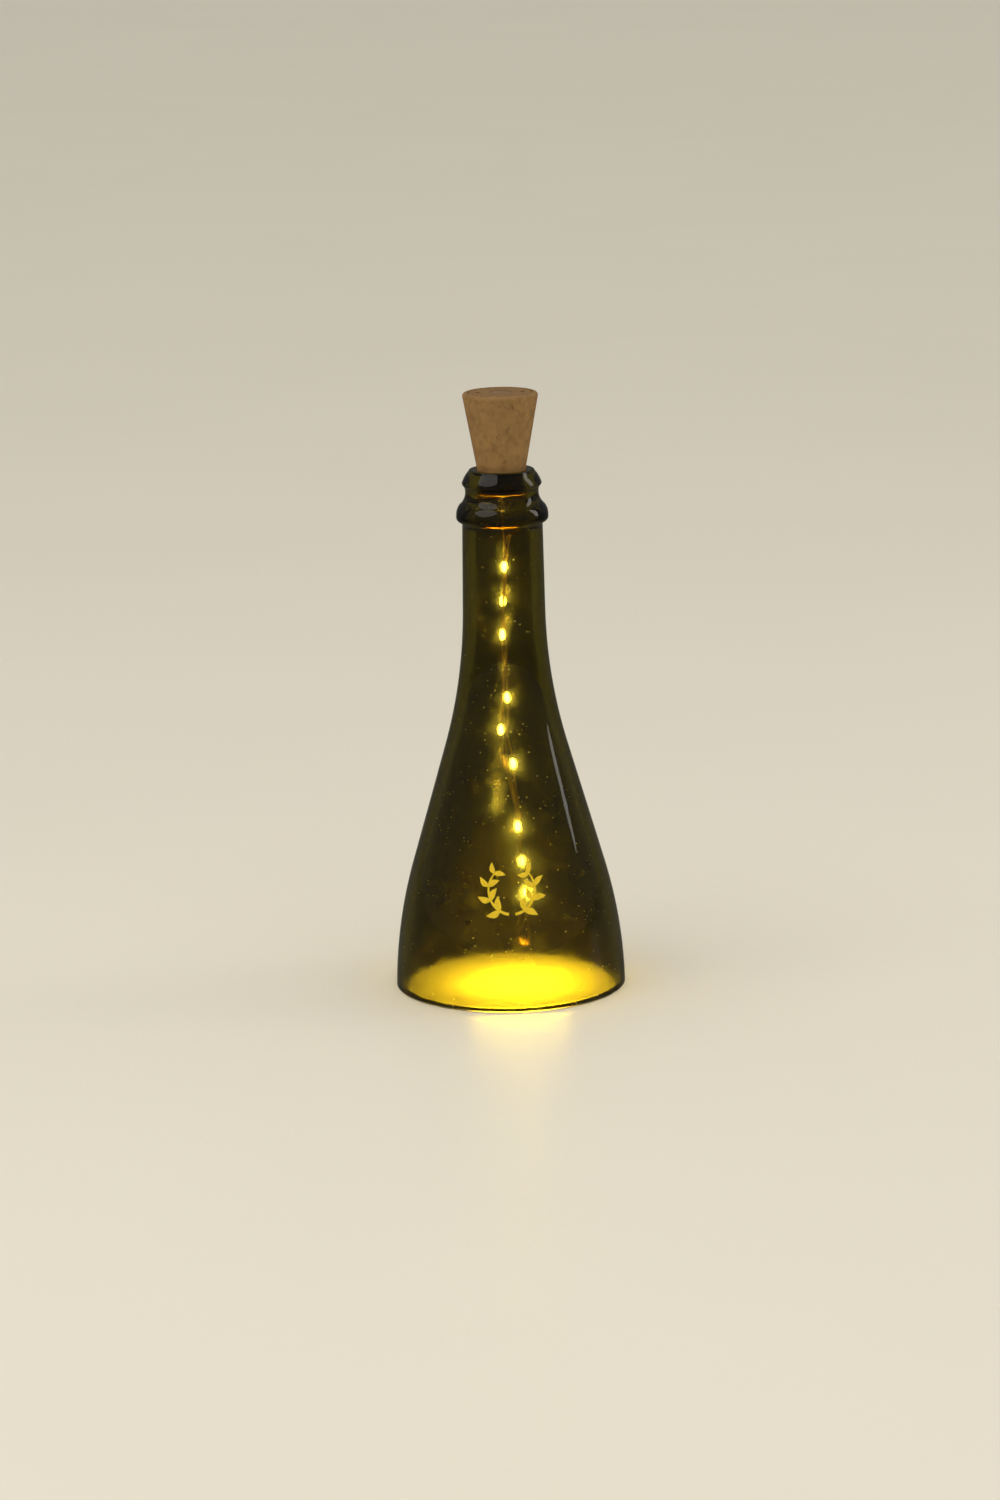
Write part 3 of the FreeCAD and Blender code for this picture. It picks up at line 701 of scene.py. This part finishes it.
def tube(path: Sequence[Vector], radius: float, sides: int) -> tuple[list[Vector], list[list[int]]]:
    """Round tube along a path, closed at both ends.

    Args:
        path: Points of its middle line.
        radius: Its radius.
        sides: Corners round it.

    Returns:
        Corners and faces.
    """
    points: list[Vector] = []
    faces: list[list[int]] = []
    side = (path[1] - path[0]).orthogonal().normalized()
    for k, middle in enumerate(path):
        along = (path[min(k + 1, len(path) - 1)] - path[max(k - 1, 0)]).normalized()
        side = (side - along * side.dot(along)).normalized()
        other = along.cross(side)
        for corner in range(sides):
            turn = math.tau * corner / sides
            points.append(middle + (side * math.cos(turn) + other * math.sin(turn)) * radius)
    for k in range(len(path) - 1):
        for corner in range(sides):
            after = (corner + 1) % sides
            faces.append([k * sides + corner, k * sides + after, (k + 1) * sides + after, (k + 1) * sides + corner])
    faces.append(list(range(sides - 1, -1, -1)))
    faces.append([(len(path) - 1) * sides + corner for corner in range(sides)])
    return points, faces


def turned(outline: Sequence[Span], sides: int,
           shape: Callable[[Vector], Vector]) -> tuple[list[Vector], list[list[int]]]:
    """Turn a closed outline round the upright axis.

    Args:
        outline: Radius and height of its points.
        sides: Steps round the axis.
        shape: Moves each point a little off the true round.

    Returns:
        Corners and faces.
    """
    points: list[Vector] = []
    for step in range(sides):
        turn = math.tau * step / sides
        for radius, height in outline:
            point = Vector((radius * math.cos(turn), radius * math.sin(turn), height))
            points.append(shape(point))
    count = len(outline)
    faces = []
    for step in range(sides):
        here, there = step * count, (step + 1) % sides * count
        for k in range(count):
            after = (k + 1) % count
            faces.append([here + k, there + k, there + after, here + after])
    return points, faces


@dataclass
class Bottle:
    """Glass bottle cut open below, with its print; sizes are metres."""

    base_radius: float = 42.05 * MM
    rim_wall: float = 4.0 * MM
    rim_bevel: float = 0.5 * MM
    belly_arc: float = 175.8 * MM
    belly_radius: float = 35.15 * MM
    belly_height: float = 45.8 * MM
    body_wall: float = 4.2 * MM
    shoulder_arc: float = 186.6 * MM
    shoulder_radius: float = 22.2 * MM
    shoulder_height: float = 90.5 * MM
    throat_radius: float = 15.0 * MM
    throat_drop: float = 51.9 * MM
    neck_radius: float = 14.5 * MM
    neck_wall: float = 4.6 * MM
    bore_radius: float = 8.98 * MM
    bore_top_drop: float = 0.65 * MM
    bore_mouth_drop: float = 9.8 * MM
    bore_foot_drop: float = 18.8 * MM
    mouth: float = 191.3 * MM
    sides: int = 256
    step: float = 2.5 * MM
    wave: float = 0.07 * MM
    wave_length: float = 30.0 * MM
    still_below_mouth: float = 25.0 * MM
    chip_reach: float = 0.9 * MM
    chip_depth: float = 0.45 * MM
    chip_length: float = 3.0 * MM
    chip_start: float = 0.28
    chip_band: float = 1.5
    chip_place: Point = (5.0, 2.0, 8.0)
    bubble_seed: int = 11
    bubble_count: int = 26
    bubble_low: float = 98.0 * MM
    bubble_high: float = 160.0 * MM
    bubble_radius: Span = (0.22 * MM, 0.7 * MM)
    bubble_stretch: float = 1.5
    bubble_rings: int = 8
    bubble_sides: int = 12
    print_step: float = 1.0 * MM
    print_height: float = 44.0 * MM
    print_side: float = 0.8 * MM
    print_radius: float = 8.4 * MM
    print_thickness: float = 0.06 * MM
    print_back: float = 3.0
    wreath_foot: float = -82.0
    wreath_tip: float = 52.0
    stem_width: float = 1.0 * MM
    stem_taper: float = 0.5
    stem_steps: int = 28
    leaf_pairs: int = 4
    leaf_start: float = 0.7
    leaf_length: float = 5.6 * MM
    leaf_width: float = 2.5 * MM
    leaf_lean: float = 52.0
    leaf_bend: float = 0.10
    leaf_belly: float = 0.8
    leaf_tip: float = 0.04
    leaf_shrink: float = 0.28
    leaf_steps: int = 8

    def outside(self) -> list[Corner]:
        """Outer outline from the foot to the mouth.

        Returns:
            Its corners, in metres.
        """
        body = [Corner(self.base_radius - self.rim_bevel, 0.0),
                Corner(self.base_radius, self.rim_bevel, self.belly_arc),
                Corner(self.belly_radius, self.belly_height),
                Corner(self.shoulder_radius, self.shoulder_height, -self.shoulder_arc),
                Corner(self.throat_radius, self.mouth - self.throat_drop)]
        return body + [Corner(r * MM, self.mouth - drop * MM, arc * MM) for r, drop, arc in FINISH]

    def inside(self) -> list[Corner]:
        """Inner outline from the mouth down to the foot.

        Returns:
            Its corners, in metres.
        """
        foot_radius = self.base_radius - self.rim_wall
        return [Corner(self.bore_radius, self.mouth - self.bore_top_drop),
                Corner(self.bore_radius, self.mouth - self.bore_mouth_drop),
                Corner(self.neck_radius - self.neck_wall, self.mouth - self.bore_foot_drop),
                Corner(self.throat_radius - self.neck_wall, self.mouth - self.throat_drop, self.shoulder_arc),
                Corner(self.shoulder_radius - self.body_wall, self.shoulder_height),
                Corner(self.belly_radius - self.body_wall, self.belly_height, -self.belly_arc),
                Corner(foot_radius, self.rim_bevel),
                Corner(foot_radius + self.rim_bevel, 0.0)]

    def hand_made(self, point: Vector) -> Vector:
        """Pull the drawn glass a hair inward in slow waves, and chip the ground rim.

        Args:
            point: Point of the true round.

        Returns:
            The same point on the real surface.
        """
        radius = math.hypot(point.x, point.y)
        fade = min(1.0, max(0.0, (self.mouth - point.z) / self.still_below_mouth - 1.0))
        pull = self.wave * fade * (0.5 + 0.5 * noise.noise(point / self.wave_length))
        rise = 0.0
        if point.z < self.chip_reach and radius > self.base_radius - self.rim_bevel * self.chip_band:
            place = point / self.chip_length + Vector(self.chip_place)
            rise = self.chip_depth * max(0.0, noise.noise(place) - self.chip_start)
            pull += rise
        return Vector((point.x * (1 - pull / radius), point.y * (1 - pull / radius), point.z + rise))

    def on_glass(self, across: float, height: float, proud: float) -> Vector:
        """Point of the bottle's front, across to the right and at a height.

        Args:
            across: Way round the glass from the middle of the front.
            height: Height above the table.
            proud: How far the point stands off the glass.

        Returns:
            The point.
        """
        outline = trace(self.outside()[1:4], self.print_step)
        radius = next(r1 + (r2 - r1) * (height - z1) / (z2 - z1)
                      for (r1, z1), (r2, z2) in zip(outline, outline[1:]) if z1 <= height <= z2)
        turn = across / radius - math.pi / 2
        wavy = self.hand_made(Vector((radius * math.cos(turn), radius * math.sin(turn), height)))
        return wavy + Vector((math.cos(turn), math.sin(turn), 0.0)) * proud

    def leaf(self, foot: Vector, way: float, length: float, width: float) -> list[list[Span]]:
        """Leaf-shaped patch as rows of flat points.

        Args:
            foot: Where it starts, across and up.
            way: Direction it points in, in radians.
            length: Its length.
            width: Its greatest width.

        Returns:
            Rows of points along the leaf.
        """
        along, side = Vector((math.cos(way), math.sin(way))), Vector((-math.sin(way), math.cos(way)))
        rows = []
        for k in range(self.leaf_steps + 1):
            share = k / self.leaf_steps
            full = math.sin(math.pi * share ** self.leaf_belly)
            half = width / 2 * (full * (1.0 - self.leaf_tip) + self.leaf_tip)
            bend = side * (length * self.leaf_bend * math.sin(math.pi * share))
            middle = foot + along * (length * share) + bend
            rows.append([tuple(middle + side * (half * t)) for t in (-1.0, -0.5, 0.0, 0.5, 1.0)])
        return rows

    def wreath(self) -> list[list[list[Span]]]:
        """Open wreath: two stems that part at the foot, each with leaves on both sides.

        Returns:
            Its patches, each as rows of flat points.
        """
        middle = Vector((self.print_side, self.print_height))
        sweep = self.wreath_tip - self.wreath_foot
        patches = []
        for hand in (1.0, -1.0):
            stem = []
            for k in range(self.stem_steps + 1):
                turn = math.radians(self.wreath_foot + sweep * k / self.stem_steps)
                out = Vector((math.cos(turn) * hand, math.sin(turn)))
                half = self.stem_width / 2 * (1.0 - self.stem_taper * k / self.stem_steps)
                stem.append([tuple(middle + out * (self.print_radius + half * t)) for t in (-1.0, 0.0, 1.0)])
            patches.append(stem)
            for pair in range(self.leaf_pairs):
                share = (pair + self.leaf_start) / self.leaf_pairs
                turn = self.wreath_foot + sweep * share
                foot_turn = math.radians(turn)
                foot = middle + Vector((math.cos(foot_turn) * hand, math.sin(foot_turn))) * self.print_radius
                size = 1.0 - self.leaf_shrink * share
                for lean in (self.leaf_lean, -self.leaf_lean):
                    way = math.radians(turn + 90.0 - lean)
                    way = way if hand > 0 else math.pi - way
                    patches.append(self.leaf(foot, way, self.leaf_length * size, self.leaf_width * size))
        return patches

    def add_bubbles(self, outer: Sequence[Span], points: list[Vector], faces: list[list[int]]) -> None:
        """Leave seed bubbles inside the glass wall, as small closed hollows.

        Args:
            outer: Radius and height of the points up the outside.
            points: Corners of the bottle, which the bubbles' corners join.
            faces: Faces of the bottle, which the bubbles' faces join.
        """
        chance = random.Random(self.bubble_seed)
        places = [(r, z) for r, z in outer if self.bubble_low <= z <= self.bubble_high]
        for _ in range(self.bubble_count):
            radius, height = chance.choice(places)
            turn = chance.uniform(0.0, math.tau)
            size = chance.uniform(*self.bubble_radius)
            middle = Vector((math.cos(turn), math.sin(turn), 0.0)) * (radius - self.neck_wall / 2) + UP * height
            base, sides = len(points), self.bubble_sides
            for ring in range(1, self.bubble_rings):
                tilt = math.pi * ring / self.bubble_rings
                for step in range(sides):
                    around = math.tau * step / sides
                    reach = Vector((math.sin(tilt) * math.cos(around), math.sin(tilt) * math.sin(around),
                                    self.bubble_stretch * math.cos(tilt)))
                    points.append(middle + reach * size)
            last = self.bubble_rings - 2
            for ring in range(last):
                here, below = base + ring * sides, base + (ring + 1) * sides
                for step in range(sides):
                    after = (step + 1) % sides
                    faces.append([here + step, here + after, below + after, below + step])
            faces.append([base + step for step in range(sides - 1, -1, -1)])
            faces.append([base + last * sides + step for step in range(sides)])

    def build(self, glass: bpy.types.Material, enamel: bpy.types.Material) -> None:
        """Make the bottle and its print.

        Args:
            glass: Finish of the bottle.
            enamel: Finish of the print.
        """
        outline = trace(self.outside() + self.inside(), self.step)
        points, faces = turned(outline, self.sides, self.hand_made)
        count = len(points)
        first = self.inside()[0]
        outer = min(range(len(outline)), key=lambda k: math.dist(outline[k], (first.radius, first.height)))
        self.add_bubbles(outline[:outer], points, faces)
        bottle = new_piece("bottle_glass_wall", points, faces, glass, Body.BOTTLE)
        inside = bottle.data.attributes.new("inside", "FLOAT", "POINT")
        inside.data.foreach_set("value", [float(k < count and k % len(outline) > outer)
                                          for k in range(len(bottle.data.vertices))])
        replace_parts(bottle, "glass_bottle")
        self.add_print(enamel)

    def add_print(self, enamel: bpy.types.Material) -> None:
        """Lay the wreath on the front as a thin double skin.

        Args:
            enamel: Finish of the print.
        """
        points: list[Vector] = []
        faces: list[list[int]] = []
        for patch in self.wreath():
            wide = len(patch[0])
            for proud in (self.print_thickness, self.print_thickness / self.print_back):
                base = len(points)
                points += [self.on_glass(across, height, proud) for row in patch for across, height in row]
                for row in range(len(patch) - 1):
                    here, after = base + row * wide, base + (row + 1) * wide
                    faces += [[here + c, here + c + 1, after + c + 1, after + c] for c in range(wide - 1)]
        new_piece("printed_wreath", points, faces, enamel, Body.BOTTLE)


@dataclass
class LampString:
    """Two fine copper wires twisted together, with nine epoxy drops that each hold a lamp; sizes are metres."""

    start: float = 181.2 * MM
    wire: float = 0.15 * MM
    spacing: float = 0.15 * MM
    twist: float = 24.0 * MM
    diameter: float = 0.6 * MM
    length: float = 0.4765
    bead_radius: float = 1.15 * MM
    bead_half: float = 1.9 * MM
    bead_offset: float = 0.25 * MM
    bead_fat: Span = (0.94, 1.0)
    bead_lean: float = 0.12
    bead_fullness: float = 0.9
    bead_end_share: float = 0.45
    bead_sides: int = 16
    bead_rings: int = 16
    wire_sides: int = 8
    line_steps: int = 10
    line_order: int = 3
    lamp_runs: tuple[int, ...] = (3, 7, 11, 20, 24, 28, 36, 40, 44)
    route: tuple[Point, ...] = ROUTE

    def points(self) -> list[Vector]:
        """Points of the route in metres."""
        return [Vector((x, y, self.start / MM - drop)) * MM for x, y, drop in self.route]

    def line(self) -> list[Vector]:
        """Smooth middle line through the route, read from a plain spline curve.

        Returns:
            Its points, in metres.
        """
        curve = bpy.data.curves.new("string_route", "CURVE")
        curve.dimensions = "3D"
        curve.resolution_u = self.line_steps
        spline = curve.splines.new("NURBS")
        points = self.points()
        spline.points.add(len(points) - 1)
        for point, place in zip(spline.points, points):
            point.co = (*place, 1.0)
        spline.order_u = self.line_order
        spline.use_endpoint_u = True
        guide = bpy.data.objects.new("string_route", curve)
        mesh = bpy.data.meshes.new_from_object(guide)
        line = [vertex.co.copy() for vertex in mesh.vertices]
        bpy.data.objects.remove(guide)
        bpy.data.meshes.remove(mesh)
        return line

    def strands(self, line: Sequence[Vector], copper: bpy.types.Material) -> bpy.types.Object:
        """Both wires as one piece, wound round the middle line.

        Args:
            line: The middle line.
            copper: Finish of the wires.

        Returns:
            The wires.
        """
        points: list[Vector] = []
        faces: list[list[int]] = []
        side = (line[1] - line[0]).orthogonal().normalized()
        travelled = 0.0
        paths: tuple[list[Vector], list[Vector]] = ([], [])
        for k, middle in enumerate(line):
            along = (line[min(k + 1, len(line) - 1)] - line[max(k - 1, 0)]).normalized()
            side = (side - along * side.dot(along)).normalized()
            travelled += (middle - line[k - 1]).length if k else 0.0
            arm = Quaternion(along, math.tau * travelled / self.twist) @ side * self.spacing
            paths[0].append(middle + arm)
            paths[1].append(middle - arm)
        for path in paths:
            more, walls = tube(path, self.wire, self.wire_sides)
            faces += [[corner + len(points) for corner in wall] for wall in walls]
            points += more
        wires = new_piece("copper_wires", points, faces, copper, Body.CORK)
        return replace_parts(wires, "light_string")

    def bead(self, number: int, start: Vector, end: Vector, epoxy: bpy.types.Material) -> bpy.types.Object:
        """Epoxy drop that wets the wires at both ends and bulges over the lamp.

        Args:
            number: Which lamp it is.
            start: Where the wires' straight run begins.
            end: Where it ends.
            epoxy: Finish of the drop.

        Returns:
            The drop.
        """
        chance = random.Random(number)
        turn = UP.rotation_difference(end - start)
        fat = chance.uniform(*self.bead_fat)
        lean = chance.uniform(-self.bead_lean, self.bead_lean)
        least = self.diameter * self.bead_end_share
        rings, sides = self.bead_rings, self.bead_sides
        points = []
        for ring in range(rings + 1):
            share = ring / rings
            height = math.cos(math.pi * share)
            girth = math.sin(math.pi * share) ** self.bead_fullness * (1.0 + lean * height)
            shift = self.bead_offset * math.sin(math.pi * share)
            radius = max(self.bead_radius * fat * girth / (1.0 + abs(lean)), least)
            for corner in range(sides):
                around = math.tau * corner / sides
                across, up = radius * math.cos(around) + shift, self.bead_half * height
                points.append((start + end) / 2 + turn @ Vector((across, radius * math.sin(around), up)))
        faces = []
        for ring in range(rings):
            here, below = ring * sides, (ring + 1) * sides
            faces += [[here + c, below + c, below + (c + 1) % sides, here + (c + 1) % sides] for c in range(sides)]
        faces.append(list(range(sides)))
        faces.append([rings * sides + c for c in range(sides - 1, -1, -1)])
        drop = new_piece(f"lamp_drop_{number}", points, faces, epoxy, Body.CORK)
        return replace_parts(drop, f"led_bead_{number}")

    def build(self, copper: bpy.types.Material, epoxy: bpy.types.Material) -> None:
        """Args:
            copper: Finish of the wires.
            epoxy: Finish of the drops.
        """
        line = self.line()
        wires = self.strands(line, copper)
        route = self.points()
        for number, run in enumerate(self.lamp_runs, start=1):
            self.bead(number, route[run], route[run + 1], epoxy)
        measured = sum((b - a).length for a, b in zip(line, line[1:]))
        LOG.info("string: %.4f m along its middle line", measured)


@dataclass
class BatteryCork:
    """Battery cork: the CAD pieces dressed in their finishes."""

    finishes: dict[str, bpy.types.Material]

    def dress(self) -> None:
        """Give each piece that is carried over its finish, and stop at one that has none."""
        by_slot = {
            "cork_shell": "cork_moulding", "battery_cap": "cap_moulding", "push_button": "button_plastic",
            "wire_grommet": "grommet_rubber", "cap_seal": "seal_rubber", "driver_board": "board",
            "cap_board": "board", "chip_resistor": "black_part", "switch_body": "black_part",
            "switch_plunger": "plunger_plastic", "negative_spring": "spring_steel", "side_rail": "brass_part",
            "positive_contact": "brass_part", "wire_leads": "copper_wire",
        }
        for name, node in frame["nodes"].items():
            if node.hide_render:
                continue
            slot = by_slot.get(name) or ("cell_steel" if name.startswith("button_cell") else "led_chip")
            node.data.materials.clear()
            node.data.materials.append(self.finishes[slot])
            LOG.info("%s: dressed as %s", name, slot)


@dataclass(frozen=True)
class SoftLamp:
    """Soft lamp: where it hangs and looks, its width and height, and its light."""

    name: str
    place: Point
    aim: Point
    size: Span
    watts: float
    colour: Colour = (1.0, 0.97, 0.92)

    def hang(self) -> bpy.types.Object:
        """Put the lamp in the room.

        Returns:
            The lamp.
        """
        data = bpy.data.lights.new(self.name, "AREA")
        data.shape = "ELLIPSE"
        data.size, data.size_y = self.size
        data.energy = self.watts
        data.color = self.colour
        lamp = bpy.data.objects.new(self.name, data)
        lamp.location = self.place
        lamp.rotation_euler = (Vector(self.aim) - Vector(self.place)).to_track_quat("-Z", "Y").to_euler()
        bpy.context.scene.collection.objects.link(lamp)
        LOG.info("%s: hung", self.name)
        return lamp


@dataclass
class Studio:
    """Pale table, soft lights and the camera of the photograph; sizes are metres."""

    table_radius: float = 16.0
    table_sides: int = 96
    camera_place: Point = (-0.00244, -1.62965, 0.46404)
    camera_tilt: float = 13.008
    camera_roll: float = -0.0192
    lens: float = 110.15
    sensor: float = 36.0
    sight: float = 100.0
    world_colour: Colour = (0.96, 0.94, 0.89)
    horizon_colour: Colour = (0.54, 0.50, 0.42)
    world_strength: float = 0.92
    mirrored_share: float = 0.12
    key: SoftLamp = SoftLamp("key", (-0.75, -0.55, 1.05), (0.0, 0.0, 0.10), (1.2, 1.2), 3.0)
    side: SoftLamp = SoftLamp("side", (0.95, 0.10, 0.55), (0.0, 0.0, 0.10), (0.25, 0.8), 1.0)
    table_glow: SoftLamp = SoftLamp("table_glow", (0.0035, 0.0, 0.016), (0.0035, 0.0, -1.0), (0.038, 0.038), 0.25,
                                    STRING_LIGHT)
    plug_glow: SoftLamp = SoftLamp("plug_glow", (0.0, 0.0, 0.168), (0.0, 0.0, 1.0), (0.012, 0.012), 0.28,
                                   STRING_LIGHT)

    def table(self, finish: bpy.types.Material) -> None:
        """Lay the table under the rim.

        Args:
            finish: Finish of the table.
        """
        bpy.ops.mesh.primitive_circle_add(vertices=self.table_sides, radius=self.table_radius, fill_type="NGON")
        table = bpy.context.object
        table.name = "table"
        table.data.materials.append(finish)

    def string_glow(self) -> None:
        """Soften the string's own light on the table and under the plug; it goes up with the cork."""
        table_glow, plug_glow = self.table_glow.hang(), self.plug_glow.hang()
        for glow in (table_glow, plug_glow):
            glow.parent = frame["bodies"][Body.CORK.value]
        plug_glow.visible_camera = False
        plug_glow.visible_transmission = False
        plug_glow.visible_glossy = False

    def world(self) -> None:
        """Pale surroundings in plain colours; seen directly they are as pale as the far table."""
        world = bpy.data.worlds.new("studio")
        world.use_nodes = True
        nodes, links = world.node_tree.nodes, world.node_tree.links
        sky = nodes["Background"]
        seen = nodes.new("ShaderNodeMix")
        seen.data_type = "RGBA"
        seen.inputs["A"].default_value = (*self.world_colour, 1.0)
        seen.inputs["B"].default_value = (*self.horizon_colour, 1.0)
        ray, straight = nodes.new("ShaderNodeLightPath").outputs, nodes.new("ShaderNodeMath")
        straight.operation = "MAXIMUM"
        links.new(ray["Is Camera Ray"], straight.inputs[0])
        links.new(ray["Is Transmission Ray"], straight.inputs[1])
        links.new(straight.outputs["Value"], seen.inputs["Factor"])
        links.new(seen.outputs["Result"], sky.inputs["Color"])
        dim = nodes.new("ShaderNodeMapRange")
        dim.inputs["To Min"].default_value = self.world_strength
        dim.inputs["To Max"].default_value = self.world_strength * self.mirrored_share
        links.new(mirrored(world.node_tree), dim.inputs["Value"])
        links.new(dim.outputs["Result"], sky.inputs["Strength"])
        bpy.context.scene.world = world
        bpy.context.scene.view_settings.view_transform = "Standard"

    def camera(self) -> None:
        """Set the camera as the photograph was taken."""
        data = bpy.data.cameras.new("camera")
        data.lens = self.lens
        data.sensor_width = self.sensor
        data.clip_end = self.sight
        camera = bpy.data.objects.new("camera", data)
        tilt = Matrix.Rotation(math.radians(90.0 - self.camera_tilt), 4, "X")
        roll = Matrix.Rotation(self.camera_roll, 4, "Z")
        camera.matrix_world = Matrix.Translation(self.camera_place) @ tilt @ roll
        bpy.context.scene.collection.objects.link(camera)
        bpy.context.scene.camera = camera

    def build(self, finish: bpy.types.Material) -> None:
        """Set up the whole studio.

        Args:
            finish: Finish of the table.
        """
        self.table(finish)
        self.world()
        self.key.hang()
        self.side.hang()
        self.string_glow()
        self.camera()


def finishes() -> dict[str, bpy.types.Material]:
    """Make every finish of the object.

    Returns:
        The finish of each material slot of the record.
    """
    steel, brass, copper = (0.62, 0.62, 0.60), (0.80, 0.58, 0.24), (0.98, 0.68, 0.34)
    kinds = {
        "bottle_glass": BottleGlass(),
        "print_enamel": PrintEnamel(),
        "cork_moulding": CorkMoulding("cork_moulding"),
        "cap_moulding": CorkMoulding("cap_moulding", light=(0.28, 0.152, 0.045), dark=(0.19, 0.10, 0.029)),
        "button_plastic": Moulded("button_plastic", (0.27, 0.155, 0.07), (0.22, 0.125, 0.055), (0.55, 0.7)),
        "grommet_rubber": Moulded("grommet_rubber", (0.60, 0.55, 0.42), (0.50, 0.45, 0.33), clear=0.2),
        "seal_rubber": Moulded("seal_rubber", (0.03, 0.03, 0.03), (0.018, 0.018, 0.018), (0.5, 0.7)),
        "board": CircuitBoard(),
        "black_part": Moulded("black_part", (0.03, 0.03, 0.033), (0.018, 0.018, 0.02), (0.35, 0.55)),
        "plunger_plastic": Moulded("plunger_plastic", (0.72, 0.70, 0.64), (0.62, 0.60, 0.54)),
        "spring_steel": Metal("spring_steel", (0.70, 0.69, 0.66), (0.55, 0.54, 0.52), (0.15, 0.3)),
        "cell_steel": Metal("cell_steel", steel, (0.50, 0.50, 0.48), (0.22, 0.42), (0.15, 0.15, 1.0)),
        "brass_part": Metal("brass_part", brass, (0.60, 0.40, 0.15)),
        "copper_wire": Metal("copper_wire", copper, (0.88, 0.52, 0.22), (0.25, 0.45), (1.0, 1.0, 0.2), 5000.0, 0.5),
        "clear_bead": LampGlow("clear_bead"),
        "led_chip": LampGlow("led_chip", colour=(1.0, 0.72, 0.36), strength=10.0, clear=0.0),
    }
    return {slot: kind.make() for slot, kind in kinds.items()}


def main() -> None:
    """Build the bottle and the string, dress the cork and set the studio."""
    logging.basicConfig(level=logging.INFO, format="%(name)s: %(message)s")
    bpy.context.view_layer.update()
    skins = finishes()
    Bottle().build(skins["bottle_glass"], skins["print_enamel"])
    LampString().build(skins["copper_wire"], skins["clear_bead"])
    BatteryCork(skins).dress()
    Studio().build(PaleTable().make())
    bpy.context.view_layer.update()


if __name__ == "__main__":
    main()
